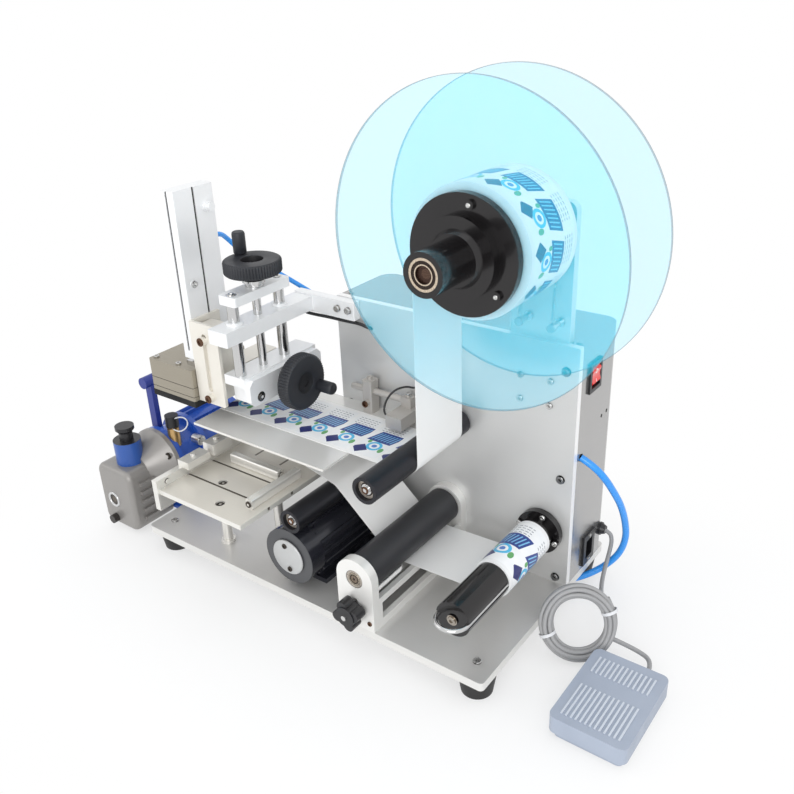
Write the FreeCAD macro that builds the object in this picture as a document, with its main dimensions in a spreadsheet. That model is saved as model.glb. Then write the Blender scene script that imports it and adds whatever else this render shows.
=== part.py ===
import FreeCAD, Part
import math
import os
import re

import Sketcher
from FreeCAD import Placement, Rotation, Vector

# Flat surface labeling machine. Millimetres, +Z up, +X to the machine's right, +Y to its back.
# Pieces are laid out from the middle of the base plate on the table top; origin_x and origin_y then
# set the frame's origin under the middle of the whole, with its pump and pedal.

doc = FreeCAD.newDocument("FlatLabeler")
sheet = doc.addObject("Spreadsheet::Sheet", "Sizes")

SIZES = {
    # frame
    "origin_x": 22, "origin_y": -22.5,
    # stand
    "base_length": 504, "base_depth": 285, "base_thick": 10, "foot_height": 25,
    "foot_inset": 21, "foot_depth_inset": 25, "front_edge": -142,
    # panel and control box
    "panel_left": -63, "panel_right": 252, "panel_front": 42, "panel_thick": 8,
    "panel_top": 329, "box_back": 143, "wall_thick": 2,
    # reel of labels
    "reel_x": 189, "reel_z": 447, "disc_radius": 150, "disc_thick": 3, "shaft_radius": 8,
    "web_front": -66, "web_width": 86, "roll_radius": 62.5, "core_radius": 38,
    "flange_radius": 56, "nose_front": -138, "stand_left": 168, "stand_right": 236, "stand_top": 472,
    # guide rollers
    "roller_front": -137, "roller_length": 175,
    "upper_x": 111, "upper_z": 210, "upper_radius": 15,
    "lower_x": 2, "lower_z": 132, "lower_radius": 14,
    # drive and nip rollers
    "drive_x": 94, "drive_z": 97, "drive_radius": 21, "nip_radius": 16, "nip_gap": 0.5,
    "bracket_thick": 11, "bracket_half": 24, "bearing_radius": 11,
    # rewinder
    "rewind_x": 218, "rewind_z": 102, "mandrel_radius": 19.5, "rewound_radius": 21.5,
    # peel plate and web
    "peel_left": -172, "peel_right": 32, "peel_front": -109, "peel_thick": 3,
    "web_thick": 0.4, "web_gap": 0.05,
    # drive motor
    "motor_x": -10, "motor_z": 78, "motor_radius": 37, "motor_front": -132,
    # positioning table
    "table_left": -155, "table_right": -24, "table_front": -185, "table_back": -40,
    "table_top": 145, "table_thick": 6,
    # label head
    "post_x": -106, "post_radius": 6.5, "post_front": -84, "screw_y": -47, "post_back": -11,
    "arm_bottom": 309, "arm_thick": 17, "plate_top": 263, "plate_thick": 12, "cap_bottom": 349,
    "wheel_radius": 34.5, "wheel_thick": 16, "cross_y": -30, "cross_z": 244,
    "box_left": -253, "box_right": -177, "box_front": -98, "box_rear": -8, "pad_bottom": 207,
    "pad_thick": 8, "column_left": -196, "column_right": -176, "column_front": -88,
    "column_back": -28, "column_bottom": 267, "column_top": 465,
    # foot pedal
    "pedal_x": 359, "pedal_y": -77, "pedal_width": 80, "pedal_length": 112, "pedal_height": 21,
    # vacuum pump
    "pump_x": -306, "pump_z": 84, "pump_radius": 46, "case_front": -137, "case_back": -75,
    "case_height": 95,
    "cable_radius": 2.5, "hose_radius": 4,
    # running clearance of a shaft in its bore
    "running_gap": 0.05,
}
for row, (alias, number) in enumerate(SIZES.items(), 1):
    sheet.set("A%d" % row, alias)
    sheet.set("B%d" % row, str(number))
    sheet.setAlias("B%d" % row, alias)
doc.recompute()

AXES = {
    "x": Rotation(Vector(0, 1, 0), 90),
    "y": Rotation(Vector(1, 0, 0), -90),
    "z": Rotation(),
}
pieces = []


def size(alias):
    """A value of the sheet."""
    return float(sheet.get(alias))


ORIGIN = Vector(size("origin_x"), size("origin_y"), 0)

def bind(obj, prop, formula):
    """Ties a property to the sheet; the words of a formula are names in it."""
    tied = re.sub(r"[a-z]+(_[a-z]+)+", lambda m: "Sizes." + m.group(), str(formula))
    obj.setExpression(prop, tied)


def place(obj, x, y, z):
    for axis, formula in zip("xyz", ("%s - origin_x" % x, "%s - origin_y" % y, z)):
        bind(obj, "Placement.Base." + axis, formula)
    return obj


def block(name, x, y, z, dx, dy, dz):
    """A box from its low corner and its extents."""
    obj = doc.addObject("Part::Box", name)
    bind(obj, "Length", dx)
    bind(obj, "Width", dy)
    bind(obj, "Height", dz)
    return place(obj, x, y, z)


def rod(name, axis, x, y, z, radius, length):
    """A cylinder that starts at a point and runs along +axis."""
    obj = doc.addObject("Part::Cylinder", name)
    obj.Placement = Placement(Vector(), AXES[axis])
    bind(obj, "Radius", radius)
    bind(obj, "Height", length)
    return place(obj, x, y, z)


def taper(name, axis, x, y, z, first, second, length):
    obj = doc.addObject("Part::Cone", name)
    obj.Placement = Placement(Vector(), AXES[axis])
    bind(obj, "Radius1", first)
    bind(obj, "Radius2", second)
    bind(obj, "Height", length)
    return place(obj, x, y, z)


def join(name, parts):
    if len(parts) == 1:
        return parts[0]
    obj = doc.addObject("Part::MultiFuse", name)
    obj.Shapes = parts
    return obj


def cut(name, base, tools):
    obj = doc.addObject("Part::Cut", name)
    obj.Base = base
    obj.Tool = join(name + "_tools", tools)
    return obj


def line_edges(shape, direction, where=lambda p: True, origin=Vector()):
    """Numbers of the straight edges along a direction whose middle passes a test."""
    found = []
    for number, edge in enumerate(shape.Edges, 1):
        if edge.Curve.TypeId != "Part::GeomLine":
            continue
        along = (edge.Vertexes[-1].Point - edge.Vertexes[0].Point).normalize()
        if abs(along.dot(direction)) > 0.999 and where(edge.CenterOfMass + origin):
            found.append(number)
    return found


def round_edges(name, base, radius, direction, where=lambda p: True):
    """Rounds the straight edges of a body along one direction."""
    doc.recompute()
    obj = doc.addObject("Part::Fillet", name)
    obj.Base = base
    obj.Edges = [(n, radius, radius) for n in line_edges(base.Shape, direction, where, ORIGIN)]
    return obj


def bevel_edges(name, base, width, direction, where=lambda p: True):
    doc.recompute()
    obj = doc.addObject("Part::Chamfer", name)
    obj.Base = base
    obj.Edges = [(n, width, width) for n in line_edges(base.Shape, direction, where, ORIGIN)]
    return obj


def feature(name, shape, at=(0, 0, 0), turn=Rotation()):
    """A shape made in its own frame, then set in place."""
    obj = doc.addObject("Part::Feature", name)
    obj.Shape = shape
    obj.Placement = Placement(Vector(*at) - ORIGIN, turn)
    return obj


def piece(node, obj):
    obj.Label = node
    pieces.append((node, obj))
    return obj


def fix_point(sketch, geometry, point, x, y):
    """Holds a sketch point at a place given by the sheet."""
    for kind, formula in (("DistanceX", x), ("DistanceY", y)):
        index = sketch.addConstraint(Sketcher.Constraint(kind, geometry, point, 1.0))
        bind(sketch, "Constraints[%d]" % index, formula)


def slab(node, role, corners, circles, depth, back_to_front=False):
    """A plate padded from a sketch with straight sides and round holes."""
    body = doc.addObject("PartDesign::Body", node)
    sketch = body.newObject("Sketcher::SketchObject", node + "_outline")
    plane = next(f for f in body.Origin.OriginFeatures if f.Role == role)
    sketch.AttachmentSupport = [(plane, "")]
    sketch.MapMode = "FlatFace"
    count = len(corners)
    guess = [Vector(i, i * i, 0) for i in range(count)]
    for i in range(count):
        sketch.addGeometry(Part.LineSegment(guess[i], guess[(i + 1) % count]))
    for i in range(count):
        sketch.addConstraint(Sketcher.Constraint("Coincident", i, 2, (i + 1) % count, 1))
    for i, (x, y) in enumerate(corners):
        fix_point(sketch, i, 1, x, y)
    for x, y, radius in circles:
        circle = sketch.addGeometry(Part.Circle(Vector(0, 0, 0), Vector(0, 0, 1), 5))
        fix_point(sketch, circle, 3, x, y)
        index = sketch.addConstraint(Sketcher.Constraint("Radius", circle, 5))
        bind(sketch, "Constraints[%d]" % index, radius)
    pad = body.newObject("PartDesign::Pad", node + "_pad")
    pad.Profile = sketch
    bind(pad, "Length", depth)
    pad.Reversed = back_to_front
    body.Tip = pad
    return body


def soften_body(body, radius, direction, where=lambda p: True, kind="Fillet"):
    """Rounds or bevels edges of a PartDesign body."""
    doc.recompute()
    base = body.Tip
    names = ["Edge%d" % n for n in line_edges(base.Shape, direction, where)]
    obj = body.newObject("PartDesign::" + kind, body.Name + "_" + kind.lower())
    obj.Base = (base, names)
    if kind == "Fillet":
        obj.Radius = radius
    else:
        obj.Size = radius
    body.Tip = obj
    return body


X, Y, Z = Vector(1, 0, 0), Vector(0, 1, 0), Vector(0, 0, 1)
HOSE_END = (220.5, 58.8, 46)
base_top = "foot_height + base_thick"

# Base plate: a steel plate with rounded corners, a screw hole over each foot and one for the hose.
feet = [(x, y) for x in ("foot_inset - base_length / 2", "base_length / 2 - foot_inset")
        for y in ("front_edge + foot_depth_inset", "front_edge + base_depth - foot_depth_inset")]
plate = slab("base_plate", "XY_Plane",
             [("-base_length / 2", "front_edge"), ("base_length / 2", "front_edge"),
              ("base_length / 2", "front_edge + base_depth"),
              ("-base_length / 2", "front_edge + base_depth")],
             [(x, y, 3) for x, y in feet] + [(HOSE_END[0], HOSE_END[1], "hose_radius + 0.8")], "base_thick")
soften_body(plate, 5, Z)
place(plate, 0, 0, "foot_height")
piece("base_plate", plate)

piece("rubber_feet", join("rubber_feet", [
    cut("foot%d" % i, taper("foot_cone%d" % i, "z", x, y, 0, 17, 21, "foot_height"),
        [rod("foot_bore%d" % i, "z", x, y, 10, 2.9, "foot_height")])
    for i, (x, y) in enumerate(feet)]))

# Main panel: upright plate with the holes of the axles, shafts and screws.
brake_x = (190, 226)
brake_z = "reel_z - 96"
margin_screws = [("panel_right - 14", z) for z in (base_top + " + 8", base_top + " + 138", "panel_top - 28")]
margin_screws += [("panel_left + 13", z) for z in (base_top + " + 25", base_top + " + 155")]
stand_screws = [(x, z) for z in ("panel_top - 43", "panel_top - 71")
                for x in ("stand_left + 18", "stand_right - 15")]
panel_holes = [("upper_x", "upper_z", 6), ("lower_x", "lower_z", 6),
               ("drive_x", "drive_z", 9), ("rewind_x", "rewind_z", 7.05)]
panel_holes += [(x, z, 2) for x, z in margin_screws + stand_screws]
panel = slab("main_panel", "XZ_Plane",
             [("panel_left", base_top), ("panel_right", base_top),
              ("panel_right", "panel_top"), ("panel_left", "panel_top")],
             panel_holes, "panel_thick", True)
soften_body(panel, 1, Y, kind="Chamfer")
place(panel, 0, "panel_front", 0)
piece("main_panel", panel)

# Control box: a folded shell open to the panel, with rounded back corners, and a lid.
box_length = "panel_right - panel_left"
box_depth = "box_back - panel_front - panel_thick"
box_front = "panel_front + panel_thick"
shell_top = size("panel_top") - 4
shell_outer = round_edges("shell_outer", block(
    "shell_block", "panel_left", box_front, base_top, box_length, box_depth,
    "panel_top - 4 - foot_height - base_thick"), 18, Z, lambda p: p.y > size("box_back") - 1)
shell_inner = round_edges("shell_inner", block(
    "shell_void", "panel_left + wall_thick", "panel_front + panel_thick - 1", 30,
    "panel_right - panel_left - 2 * wall_thick", "box_back - panel_front - panel_thick - wall_thick + 1",
    "panel_top"), 16, Z, lambda p: p.y > size("box_back") - 4)
end_wall = "panel_right - wall_thick - 1"
shell = cut("shell", shell_outer, [
    shell_inner,
    block("rocker_hole", end_wall, 68, "panel_top - 57", 5, 24, 28),
    block("inlet_hole", end_wall, 82, 44, 5, 22, 32),
    rod("gland_hole", "x", "panel_right - 10", 127, 66, 5, 12),
    rod("hose_hole_top", "x", end_wall, 60, 196, 4.5, 5),
    rod("vent_one", "x", end_wall, 107, 226, 2.2, 5),
    rod("vent_two", "x", end_wall, 120, 227, 2.2, 5),
])
piece("box_shell", shell)

cover = round_edges("cover_block", block(
    "cover_plate", "panel_left", box_front, shell_top, box_length, box_depth, 3),
    18, Z, lambda p: p.y > size("box_back") - 1)
cover = cut("cover_notched", cover, [
    block("cover_notch", "stand_left - 0.5", box_front, shell_top - 1, "stand_right - stand_left + 1", 10.5, 6),
    rod("cover_hole_right", "z", 243, 59, shell_top - 1, 1.9, 6),
    rod("cover_hole_left", "z", -54, 59, shell_top - 1, 1.9, 6),
])
piece("box_cover", cover)

# Inside the box: the power supply on the base plate.
supply = cut("supply", block("supply_case", 120, 70, base_top, 104, 55, 42),
             [block("supply_slot%d" % i, 130 + 10 * i, 66, 50, 4, 10, 18) for i in range(9)])
piece("power_supply", supply)

# Reel stand: upright behind the panel with the bearing housing of the reel shaft.
stand = round_edges("stand_round", block(
    "stand_plate", "stand_left", box_front, "panel_top - 83", "stand_right - stand_left", 10,
    "stand_top - panel_top + 83"),
    10, Y, lambda p: p.z > size("stand_top") - 1)
stand = join("stand_full", [stand, rod("stand_housing", "y", "reel_x", 34, "reel_z", 24, 17),
                            rod("stand_collar", "y", "reel_x", 58, "reel_z", 16, 8)])
stand = cut("stand", stand, [rod("stand_bore", "y", "reel_x", 30, "reel_z", "shaft_radius + running_gap", 40)]
            + [rod("stand_tap%d" % i, "y", x, 49, z, 2, 12) for i, (x, z) in enumerate(stand_screws)]
            + [rod("stand_pin_bore%d" % i, "y", x, 49, brake_z, 3, 12) for i, x in enumerate(brake_x)])
piece("reel_stand", stand)

# Reel: shaft, rear hub with its mandrel, two clear discs, roll of labels and stepped nose.
web_back = "web_front + web_width"
piece("reel_shaft", join("reel_shaft_full", [
    rod("reel_shaft_bar", "y", "reel_x", "nose_front + 6", "reel_z", "shaft_radius", "66 - nose_front - 6 + 3"),
    rod("reel_shaft_ring", "y", "reel_x", "66 + 0.3", "reel_z", 12, 3)]))
hub = join("hub_full", [
    rod("hub_flange", "y", "reel_x", "web_front + web_width + 0.5 + disc_thick", "reel_z", "flange_radius", 6),
    rod("hub_mandrel", "y", "reel_x", "web_front - 0.5 - disc_thick", "reel_z", "core_radius",
        "web_width + 1 + 2 * disc_thick + 1")])
piece("reel_hub", cut("hub", hub, [rod("hub_bore", "y", "reel_x", -100, "reel_z", "shaft_radius", 200)]))
discs = []
for name, y in (("front", "web_front - 0.5 - disc_thick"), ("rear", "web_front + web_width + 0.5")):
    disc = cut("disc_" + name,
               rod("disc_%s_plate" % name, "y", "reel_x", y, "reel_z", "disc_radius", "disc_thick"),
               [rod("disc_%s_hole" % name, "y", "reel_x", y + " - 1", "reel_z", "core_radius", "disc_thick + 2")])
    discs.append(disc)
piece("reel_discs", join("reel_discs_pair", discs))
roll = cut("roll", rod("roll_paper", "y", "reel_x", "web_front", "reel_z", "roll_radius", "web_width"),
           [rod("roll_hole", "y", "reel_x", "web_front - 1", "reel_z", "core_radius", "web_width + 2")])
piece("label_roll", roll)
disc_face = "web_front - 0.5 - disc_thick"
nose = join("nose_full", [
    rod("nose_flange", "y", "reel_x", disc_face + " - 8", "reel_z", "flange_radius", 8),
    rod("nose_step", "y", "reel_x", disc_face + " - 18", "reel_z", 38, 12),
    taper("nose_cone", "y", "reel_x", disc_face + " - 24", "reel_z", 24, 28, 8),
    rod("nose_barrel", "y", "reel_x", "nose_front", "reel_z", 20, "web_front - nose_front - 18")])
nose = cut("nose_bored", nose, [
    rod("nose_bore", "y", "reel_x", "nose_front - 1", "reel_z", "shaft_radius", 100),
    rod("nose_recess", "y", "reel_x", "nose_front - 1", "reel_z", 15, 5)])
hub_screws = [rod("hub_screw%d" % i, "y", "reel_x + 47 * cos(%d)" % a, disc_face + " - 11",
                  "reel_z + 47 * sin(%d)" % a, 4.5, 4) for i, a in enumerate((80, 200, 320))]
bearing = cut("nose_bearing", rod("nose_bearing_ring", "y", "reel_x", "nose_front + 1.5", "reel_z", 15, 2.5),
              [rod("nose_bearing_hole", "y", "reel_x", "nose_front + 1", "reel_z", "shaft_radius", 4)])
piece("hub_nose", join("hub_nose_full", [nose, bearing] + hub_screws))

# Reel brake: two headed pins through the stand, held by nuts.
brake = []
for i, x in enumerate(brake_x):
    brake.append(rod("brake_pin%d" % i, "y", x, 28, brake_z, 3, 33))
    brake.append(rod("brake_head%d" % i, "y", x, 25.5, brake_z, 4.5, 4))
    brake.append(rod("brake_nut%d" % i, "y", x, 61, brake_z, 5.5, 3))
    brake.append(rod("brake_ring%d" % i, "y", x, 46, brake_z, 5, 4))
piece("reel_brake", join("reel_brake_full", brake))


# Guide rollers: tubes that turn on two bearings of a fixed axle in the panel.
def guide_roller(node, x, z, radius, wall):
    tube = rod(node + "_tube", "y", x, "roller_front", z, radius, "roller_length")
    return piece(node, cut(node, tube, [
        rod(node + "_bore", "y", x, "roller_front - 1", z, radius + " - " + wall, "roller_length + 2")]))


guide_roller("upper_guide_roller", "upper_x", "upper_z", "upper_radius", "4")
guide_roller("lower_guide_roller", "lower_x", "lower_z", "lower_radius", "4")
axle_parts = []
for name in ("upper", "lower"):
    x, z = name + "_x", name + "_z"
    axle_parts.append(rod(name + "_axle", "y", x, "roller_front + 4", z, 6,
                          "panel_front + panel_thick - roller_front - 4"))
    axle_parts.append(rod(name + "_axle_cap", "y", x, "roller_front + 1", z, 4, 4))
    for end, y in (("front", "roller_front + 5"), ("rear", "roller_front + roller_length - 9")):
        axle_parts.append(rod("%s_bearing_%s" % (name, end), "y", x, y, z,
                              name + "_radius - 4 - running_gap", 8))
drive_bearings = []
for end, y in (("front", "front_edge"), ("rear", "panel_front - bracket_thick")):
    ring = rod("drive_bearing_" + end, "y", "drive_x", y + " + 1", "drive_z", "bearing_radius",
               "bracket_thick - 1")
    drive_bearings.append(cut("drive_race_" + end, ring, [
        rod("drive_race_hole_" + end, "y", "drive_x", y + " - 1", "drive_z", "shaft_radius + running_gap", 20)]))
piece("axles_bearings", join("axles_bearings_full", axle_parts + drive_bearings))

# Drive roller and its shaft with the belt pulley behind the panel.
roller_y = "front_edge + bracket_thick + 2"
roller_run = "panel_front - front_edge - 2 * bracket_thick - 4"
drive = cut("drive_tube", rod("drive_rubber", "y", "drive_x", roller_y, "drive_z", "drive_radius", roller_run),
            [rod("drive_bore", "y", "drive_x", roller_y + " - 1", "drive_z", "shaft_radius", "roller_length")])
piece("drive_roller", drive)
piece("drive_shaft", join("drive_shaft_full", [
    rod("drive_bar", "y", "drive_x", "front_edge + 1", "drive_z", "shaft_radius", "panel_front - front_edge + 40"),
    rod("drive_pulley", "y", "drive_x", 56, "drive_z", 20, 14),
    rod("drive_pulley_rim", "y", "drive_x", 54, "drive_z", 23, 2),
    rod("drive_pulley_rim_two", "y", "drive_x", 70, "drive_z", 23, 2)]))

# Nip brackets: round-topped plates with a bearing bore and a slot for the nip axle, joined by a
# side plate with a window that ends under the paper.
nip_z = "drive_z - drive_radius - nip_gap - nip_radius"
brackets = []
for end, y in (("front", "front_edge"), ("rear", "panel_front - bracket_thick")):
    outline = [("drive_x - bracket_half", base_top), ("drive_x + bracket_half", base_top),
               ("drive_x + bracket_half", "drive_z + bracket_half"),
               ("drive_x - bracket_half", "drive_z + bracket_half")]
    body = slab("bracket_" + end, "XZ_Plane", outline, [("drive_x", "drive_z", "bearing_radius")],
                "bracket_thick", True)
    soften_body(body, size("bracket_half") - 0.1, Y, lambda p: p.z > size("drive_z"))
    place(body, 0, y, 0)
    slot = join("slot_" + end, [
        rod("slot_low_" + end, "y", "drive_x", y + " - 1", nip_z + " - 5", 3.1, 14),
        rod("slot_high_" + end, "y", "drive_x", y + " - 1", nip_z + " + 9", 3.1, 14),
        block("slot_mid_" + end, "drive_x - 3.1", y + " - 1", nip_z + " - 5", 6.2, 14, 14)])
    brackets.append(cut("bracket_cut_" + end, body, [slot]))
side_y = "front_edge + bracket_thick"
side_run = "panel_front - front_edge - 2 * bracket_thick"
side = block("side_plate", "drive_x + bracket_half - 6", side_y, base_top, 6, side_run, 39)
side = cut("side_cut", side, [
    block("side_window", "drive_x + bracket_half - 10", side_y + " + 5", 45, 12, side_run + " - 10", 21)])
piece("nip_brackets", join("nip_brackets_full", brackets + [side]))

# Nip roller on its fixed axle, whose stud passes the slot and carries the clamp knob.
nip = cut("nip_tube", rod("nip_steel", "y", "drive_x", "front_edge + bracket_thick + 6", nip_z, "nip_radius",
                          roller_run + " - 8"),
          [rod("nip_bore", "y", "drive_x", "front_edge", nip_z, "5 + running_gap", 220)])
piece("nip_roller", nip)
piece("nip_axle", join("nip_axle_full", [
    rod("nip_bar", "y", "drive_x", side_y, nip_z, 5, side_run),
    rod("nip_collar_front", "y", "drive_x", side_y, nip_z, 12, 5),
    rod("nip_collar_rear", "y", "drive_x", "panel_front - bracket_thick - 5", nip_z, 12, 5),
    rod("nip_stud", "y", "drive_x", "front_edge - 22", nip_z, 3, "bracket_thick + 24"),
    rod("nip_stud_rear", "y", "drive_x", "panel_front - bracket_thick - 1", nip_z, 3, 9)]))
knob_parts = [rod("knob_core", "y", "drive_x", "front_edge - 20", nip_z, 12, 16),
              rod("knob_foot", "y", "drive_x", "front_edge - 4", nip_z, 8, 4)]
for i in range(4):
    knob_parts.append(rod("knob_lobe%d" % i, "y", "drive_x + 11.5 * cos(%d)" % (90 * i + 20), "front_edge - 19",
                          nip_z + " + 11.5 * sin(%d)" % (90 * i + 20), 6.5, 14))
piece("nip_knob", cut("nip_knob_cut", join("nip_knob_full", knob_parts), [
    rod("knob_bore", "y", "drive_x", "front_edge - 30", nip_z, "3 + running_gap", 40)]))

# Drive motor: finned body on a foot plate, flange on the panel, light cover on its front.
motor = [rod("motor_core", "y", "motor_x", "motor_front + 4", "motor_z", "motor_radius - 4",
             "panel_front - motor_front - 4"),
         rod("motor_cap", "y", "motor_x", "motor_front", "motor_z", "motor_radius - 2", 22),
         rod("motor_flange", "y", "motor_x", 28, "motor_z", "motor_radius", 14),
         block("motor_foot", "motor_x - 30", "motor_front + 26", base_top, 60, 100, 6),
         block("motor_rib", "motor_x - 20", "motor_front + 30", base_top, 40, 92, 16)]
for i in range(18):
    fin = block("motor_fin%d" % i, 0, 0, 0, 3, "28 - motor_front - 24", 6)
    fin.Placement = Placement(Vector(), Rotation(Y, i * 20))
    place(fin, "motor_x + (motor_radius - 6) * sin(%d) - 1.5 * cos(%d)" % (i * 20, i * 20), "motor_front + 22",
          "motor_z + (motor_radius - 6) * cos(%d) + 1.5 * sin(%d)" % (i * 20, i * 20))
    motor.append(fin)
motor += [rod("motor_plate", "y", "motor_x", "motor_front - 2", "motor_z", 22, 4)]
motor += [rod("motor_screw%d" % i, "y", "motor_x + 15 * cos(%d)" % a, "motor_front - 3.5",
              "motor_z + 15 * sin(%d)" % a, 3, 3) for i, a in enumerate((100, 280))]
piece("drive_motor", join("drive_motor_full", motor))

# Rewinder: flange and mandrel on a shaft through the panel, two grooves for the wire clip.
mandrel = join("mandrel_full", [
    rod("rewind_flange", "y", "rewind_x", "panel_front - 9", "rewind_z", 26.5, 8),
    rod("rewind_barrel", "y", "rewind_x", "front_edge", "rewind_z", "mandrel_radius", "panel_front - front_edge - 5"),
    rod("rewind_shaft", "y", "rewind_x", "panel_front - 5", "rewind_z", 7, 40),
    rod("rewind_collar", "y", "rewind_x", "panel_front + panel_thick + 0.3", "rewind_z", 14, 12)]
    + [rod("rewind_screw%d" % i, "y", "rewind_x + 22.8 * cos(%d)" % a, "panel_front - 11",
           "rewind_z + 22.8 * sin(%d)" % a, 2.6, 3) for i, a in enumerate((75, 165, 255, 345))]
    + [rod("rewind_end_screw", "y", "rewind_x", "front_edge - 2", "rewind_z", 4, 3)])
grooves = [rod("clip_groove%d" % i, "y", x, "front_edge - 1", "rewind_z", 2.6, 174)
           for i, x in enumerate(("rewind_x + 17", "rewind_x - 17"))]
grooves += [block("clip_gap%d" % i, x, "front_edge - 1", "rewind_z - 2.6", 6, 174, 5.2)
            for i, x in enumerate(("rewind_x + 17", "rewind_x - 23"))]
piece("rewind_mandrel", cut("rewind_mandrel_cut", mandrel, grooves))
path = Part.Wire([
    Part.LineSegment(Vector(17, 170, 0), Vector(17, 0, 0)).toShape(),
    Part.Arc(Vector(17, 0, 0), Vector(0, -17, 0), Vector(-17, 0, 0)).toShape(),
    Part.LineSegment(Vector(-17, 0, 0), Vector(-17, 170, 0)).toShape()])
ring = Part.Wire([Part.Circle(Vector(17, 170, 0), Vector(0, 1, 0), 2.4).toShape()])
clip = path.makePipeShell([ring], True, False)
piece("rewind_clip", feature("wire_clip", clip, (size("rewind_x"), size("front_edge"), size("rewind_z"))))
piece("rewound_paper", cut("rewound", rod("rewound_roll", "y", "rewind_x", "web_front", "rewind_z",
                                          "rewound_radius", "web_width"),
                           [rod("rewound_hole", "y", "rewind_x", "web_front - 1", "rewind_z",
                                "mandrel_radius", "web_width + 2")]))

# Peel plate: a flat sheet with a rounded left edge on an angle of the panel.
plate_z = size("upper_z") - size("upper_radius") - size("web_gap") - size("web_thick")
peel = round_edges("peel_round", block(
    "peel_sheet", "peel_left", "peel_front", plate_z - size("peel_thick"), "peel_right - peel_left",
    "panel_front - peel_front", "peel_thick"), 1.45, Y, lambda p: p.x < size("peel_left") + 1)
angle = block("peel_angle", -62, 34, plate_z - 17, 90, 8, 14)
foot = block("peel_lug", -62, 30, plate_z - 8, 90, 12, 5)
piece("peel_plate", join("peel_full", [peel, angle, foot]))


# Paper web: one thin sheet from the roll round the rollers, cut along its path in the XZ plane.
def tangent(first, second):
    """End points of the run between two circles (x, z, radius), turning by the sign of each radius."""
    (ax, az, ar), (bx, bz, br) = first, second
    gap = math.hypot(bx - ax, bz - az)
    heading = math.atan2(bz - az, bx - ax)
    lean = math.asin((ar - br) / gap)
    normal = heading + math.pi / 2 - lean
    nx, nz = math.cos(normal), math.sin(normal)
    return (ax + ar * nx, az + ar * nz), (bx + br * nx, bz + br * nz)


def web_side(rounds, shift):
    """Edges of one side of the web; a round turns clockwise when its radius is positive."""
    moved = [(x, z, r + shift) for x, z, r in rounds]
    runs = [tangent(a, b) for a, b in zip(moved, moved[1:])]
    edges = []
    for index, (start, end) in enumerate(runs):
        if index:
            x, z, r = moved[index]
            before = runs[index - 1][1]
            if math.dist(before, start) > 1e-6:
                a = math.atan2(before[1] - z, before[0] - x)
                b = math.atan2(start[1] - z, start[0] - x)
                turn = (b - a) % (2 * math.pi) if r < 0 else -((a - b) % (2 * math.pi))
                middle = (x + abs(r) * math.cos(a + turn / 2), z + abs(r) * math.sin(a + turn / 2))
                edges.append(Part.Arc(*[Vector(p[0], 0, p[1]) for p in (before, middle, start)]).toShape())
        edges.append(Part.LineSegment(Vector(start[0], 0, start[1]), Vector(end[0], 0, end[1])).toShape())
    return edges


def sheet_band(rounds):
    near, far = web_side(rounds, 0), web_side(rounds, size("web_thick"))
    ends = [Part.LineSegment(near[0].Vertexes[0].Point, far[0].Vertexes[0].Point).toShape(),
            Part.LineSegment(near[-1].Vertexes[-1].Point, far[-1].Vertexes[-1].Point).toShape()]
    wire = Part.Wire(Part.__sortEdges__(near + far + ends))
    return Part.Face(wire).extrude(Vector(0, size("web_width"), 0))


off = size("web_gap")
thick = size("web_thick")
nose_radius = size("peel_thick") / 2 + off
supply_rounds = [
    (size("reel_x"), size("reel_z"), -size("roll_radius") - off - thick),
    (size("upper_x"), size("upper_z"), size("upper_radius") + off),
    (size("peel_left") + size("peel_thick") / 2, plate_z - size("peel_thick") / 2, -nose_radius - thick),
    (size("lower_x"), size("lower_z"), size("lower_radius") + off),
    (size("drive_x"), size("drive_z"), -size("drive_radius") - off - thick),
    (size("rewind_x"), size("rewind_z"), -size("rewound_radius") - off - thick),
]
piece("label_web", feature("paper_web", sheet_band(supply_rounds), (0, size("web_front"), 0)))

# Web sensor: fork on a bright rod that slides in a post on the peel plate.
post = round_edges("sensor_post_round", block("sensor_post_block", -16, 22, plate_z, 14, 16, 42), 2, Z)
piece("sensor_post", join("sensor_post_full", [
    cut("sensor_post_cut", post, [rod("sensor_post_bore", "x", -20, 30, 222, "4 + running_gap", 22)]),
    rod("sensor_post_screw", "z", -9, 30, plate_z + 41, 3, 5),
    rod("sensor_post_knurl", "y", -9, 18, 208, 4, 5)]))
fork = block("fork_body", 38, -4, 182, 22, 40, 34)
fork = cut("fork_cut", fork, [block("fork_gap", 30, -10, plate_z - 6, 40, 34, 12)])
piece("web_sensor", join("web_sensor_full", [
    round_edges("fork_round", fork, 2, Z, lambda p: p.y > 30),
    rod("fork_rod", "x", -36, 30, 222, 4, 78),
    block("fork_saddle", 40, 24, 214, 14, 12, 14),
    rod("fork_screw", "z", 47, 30, 227, 3, 4)]))

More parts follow.
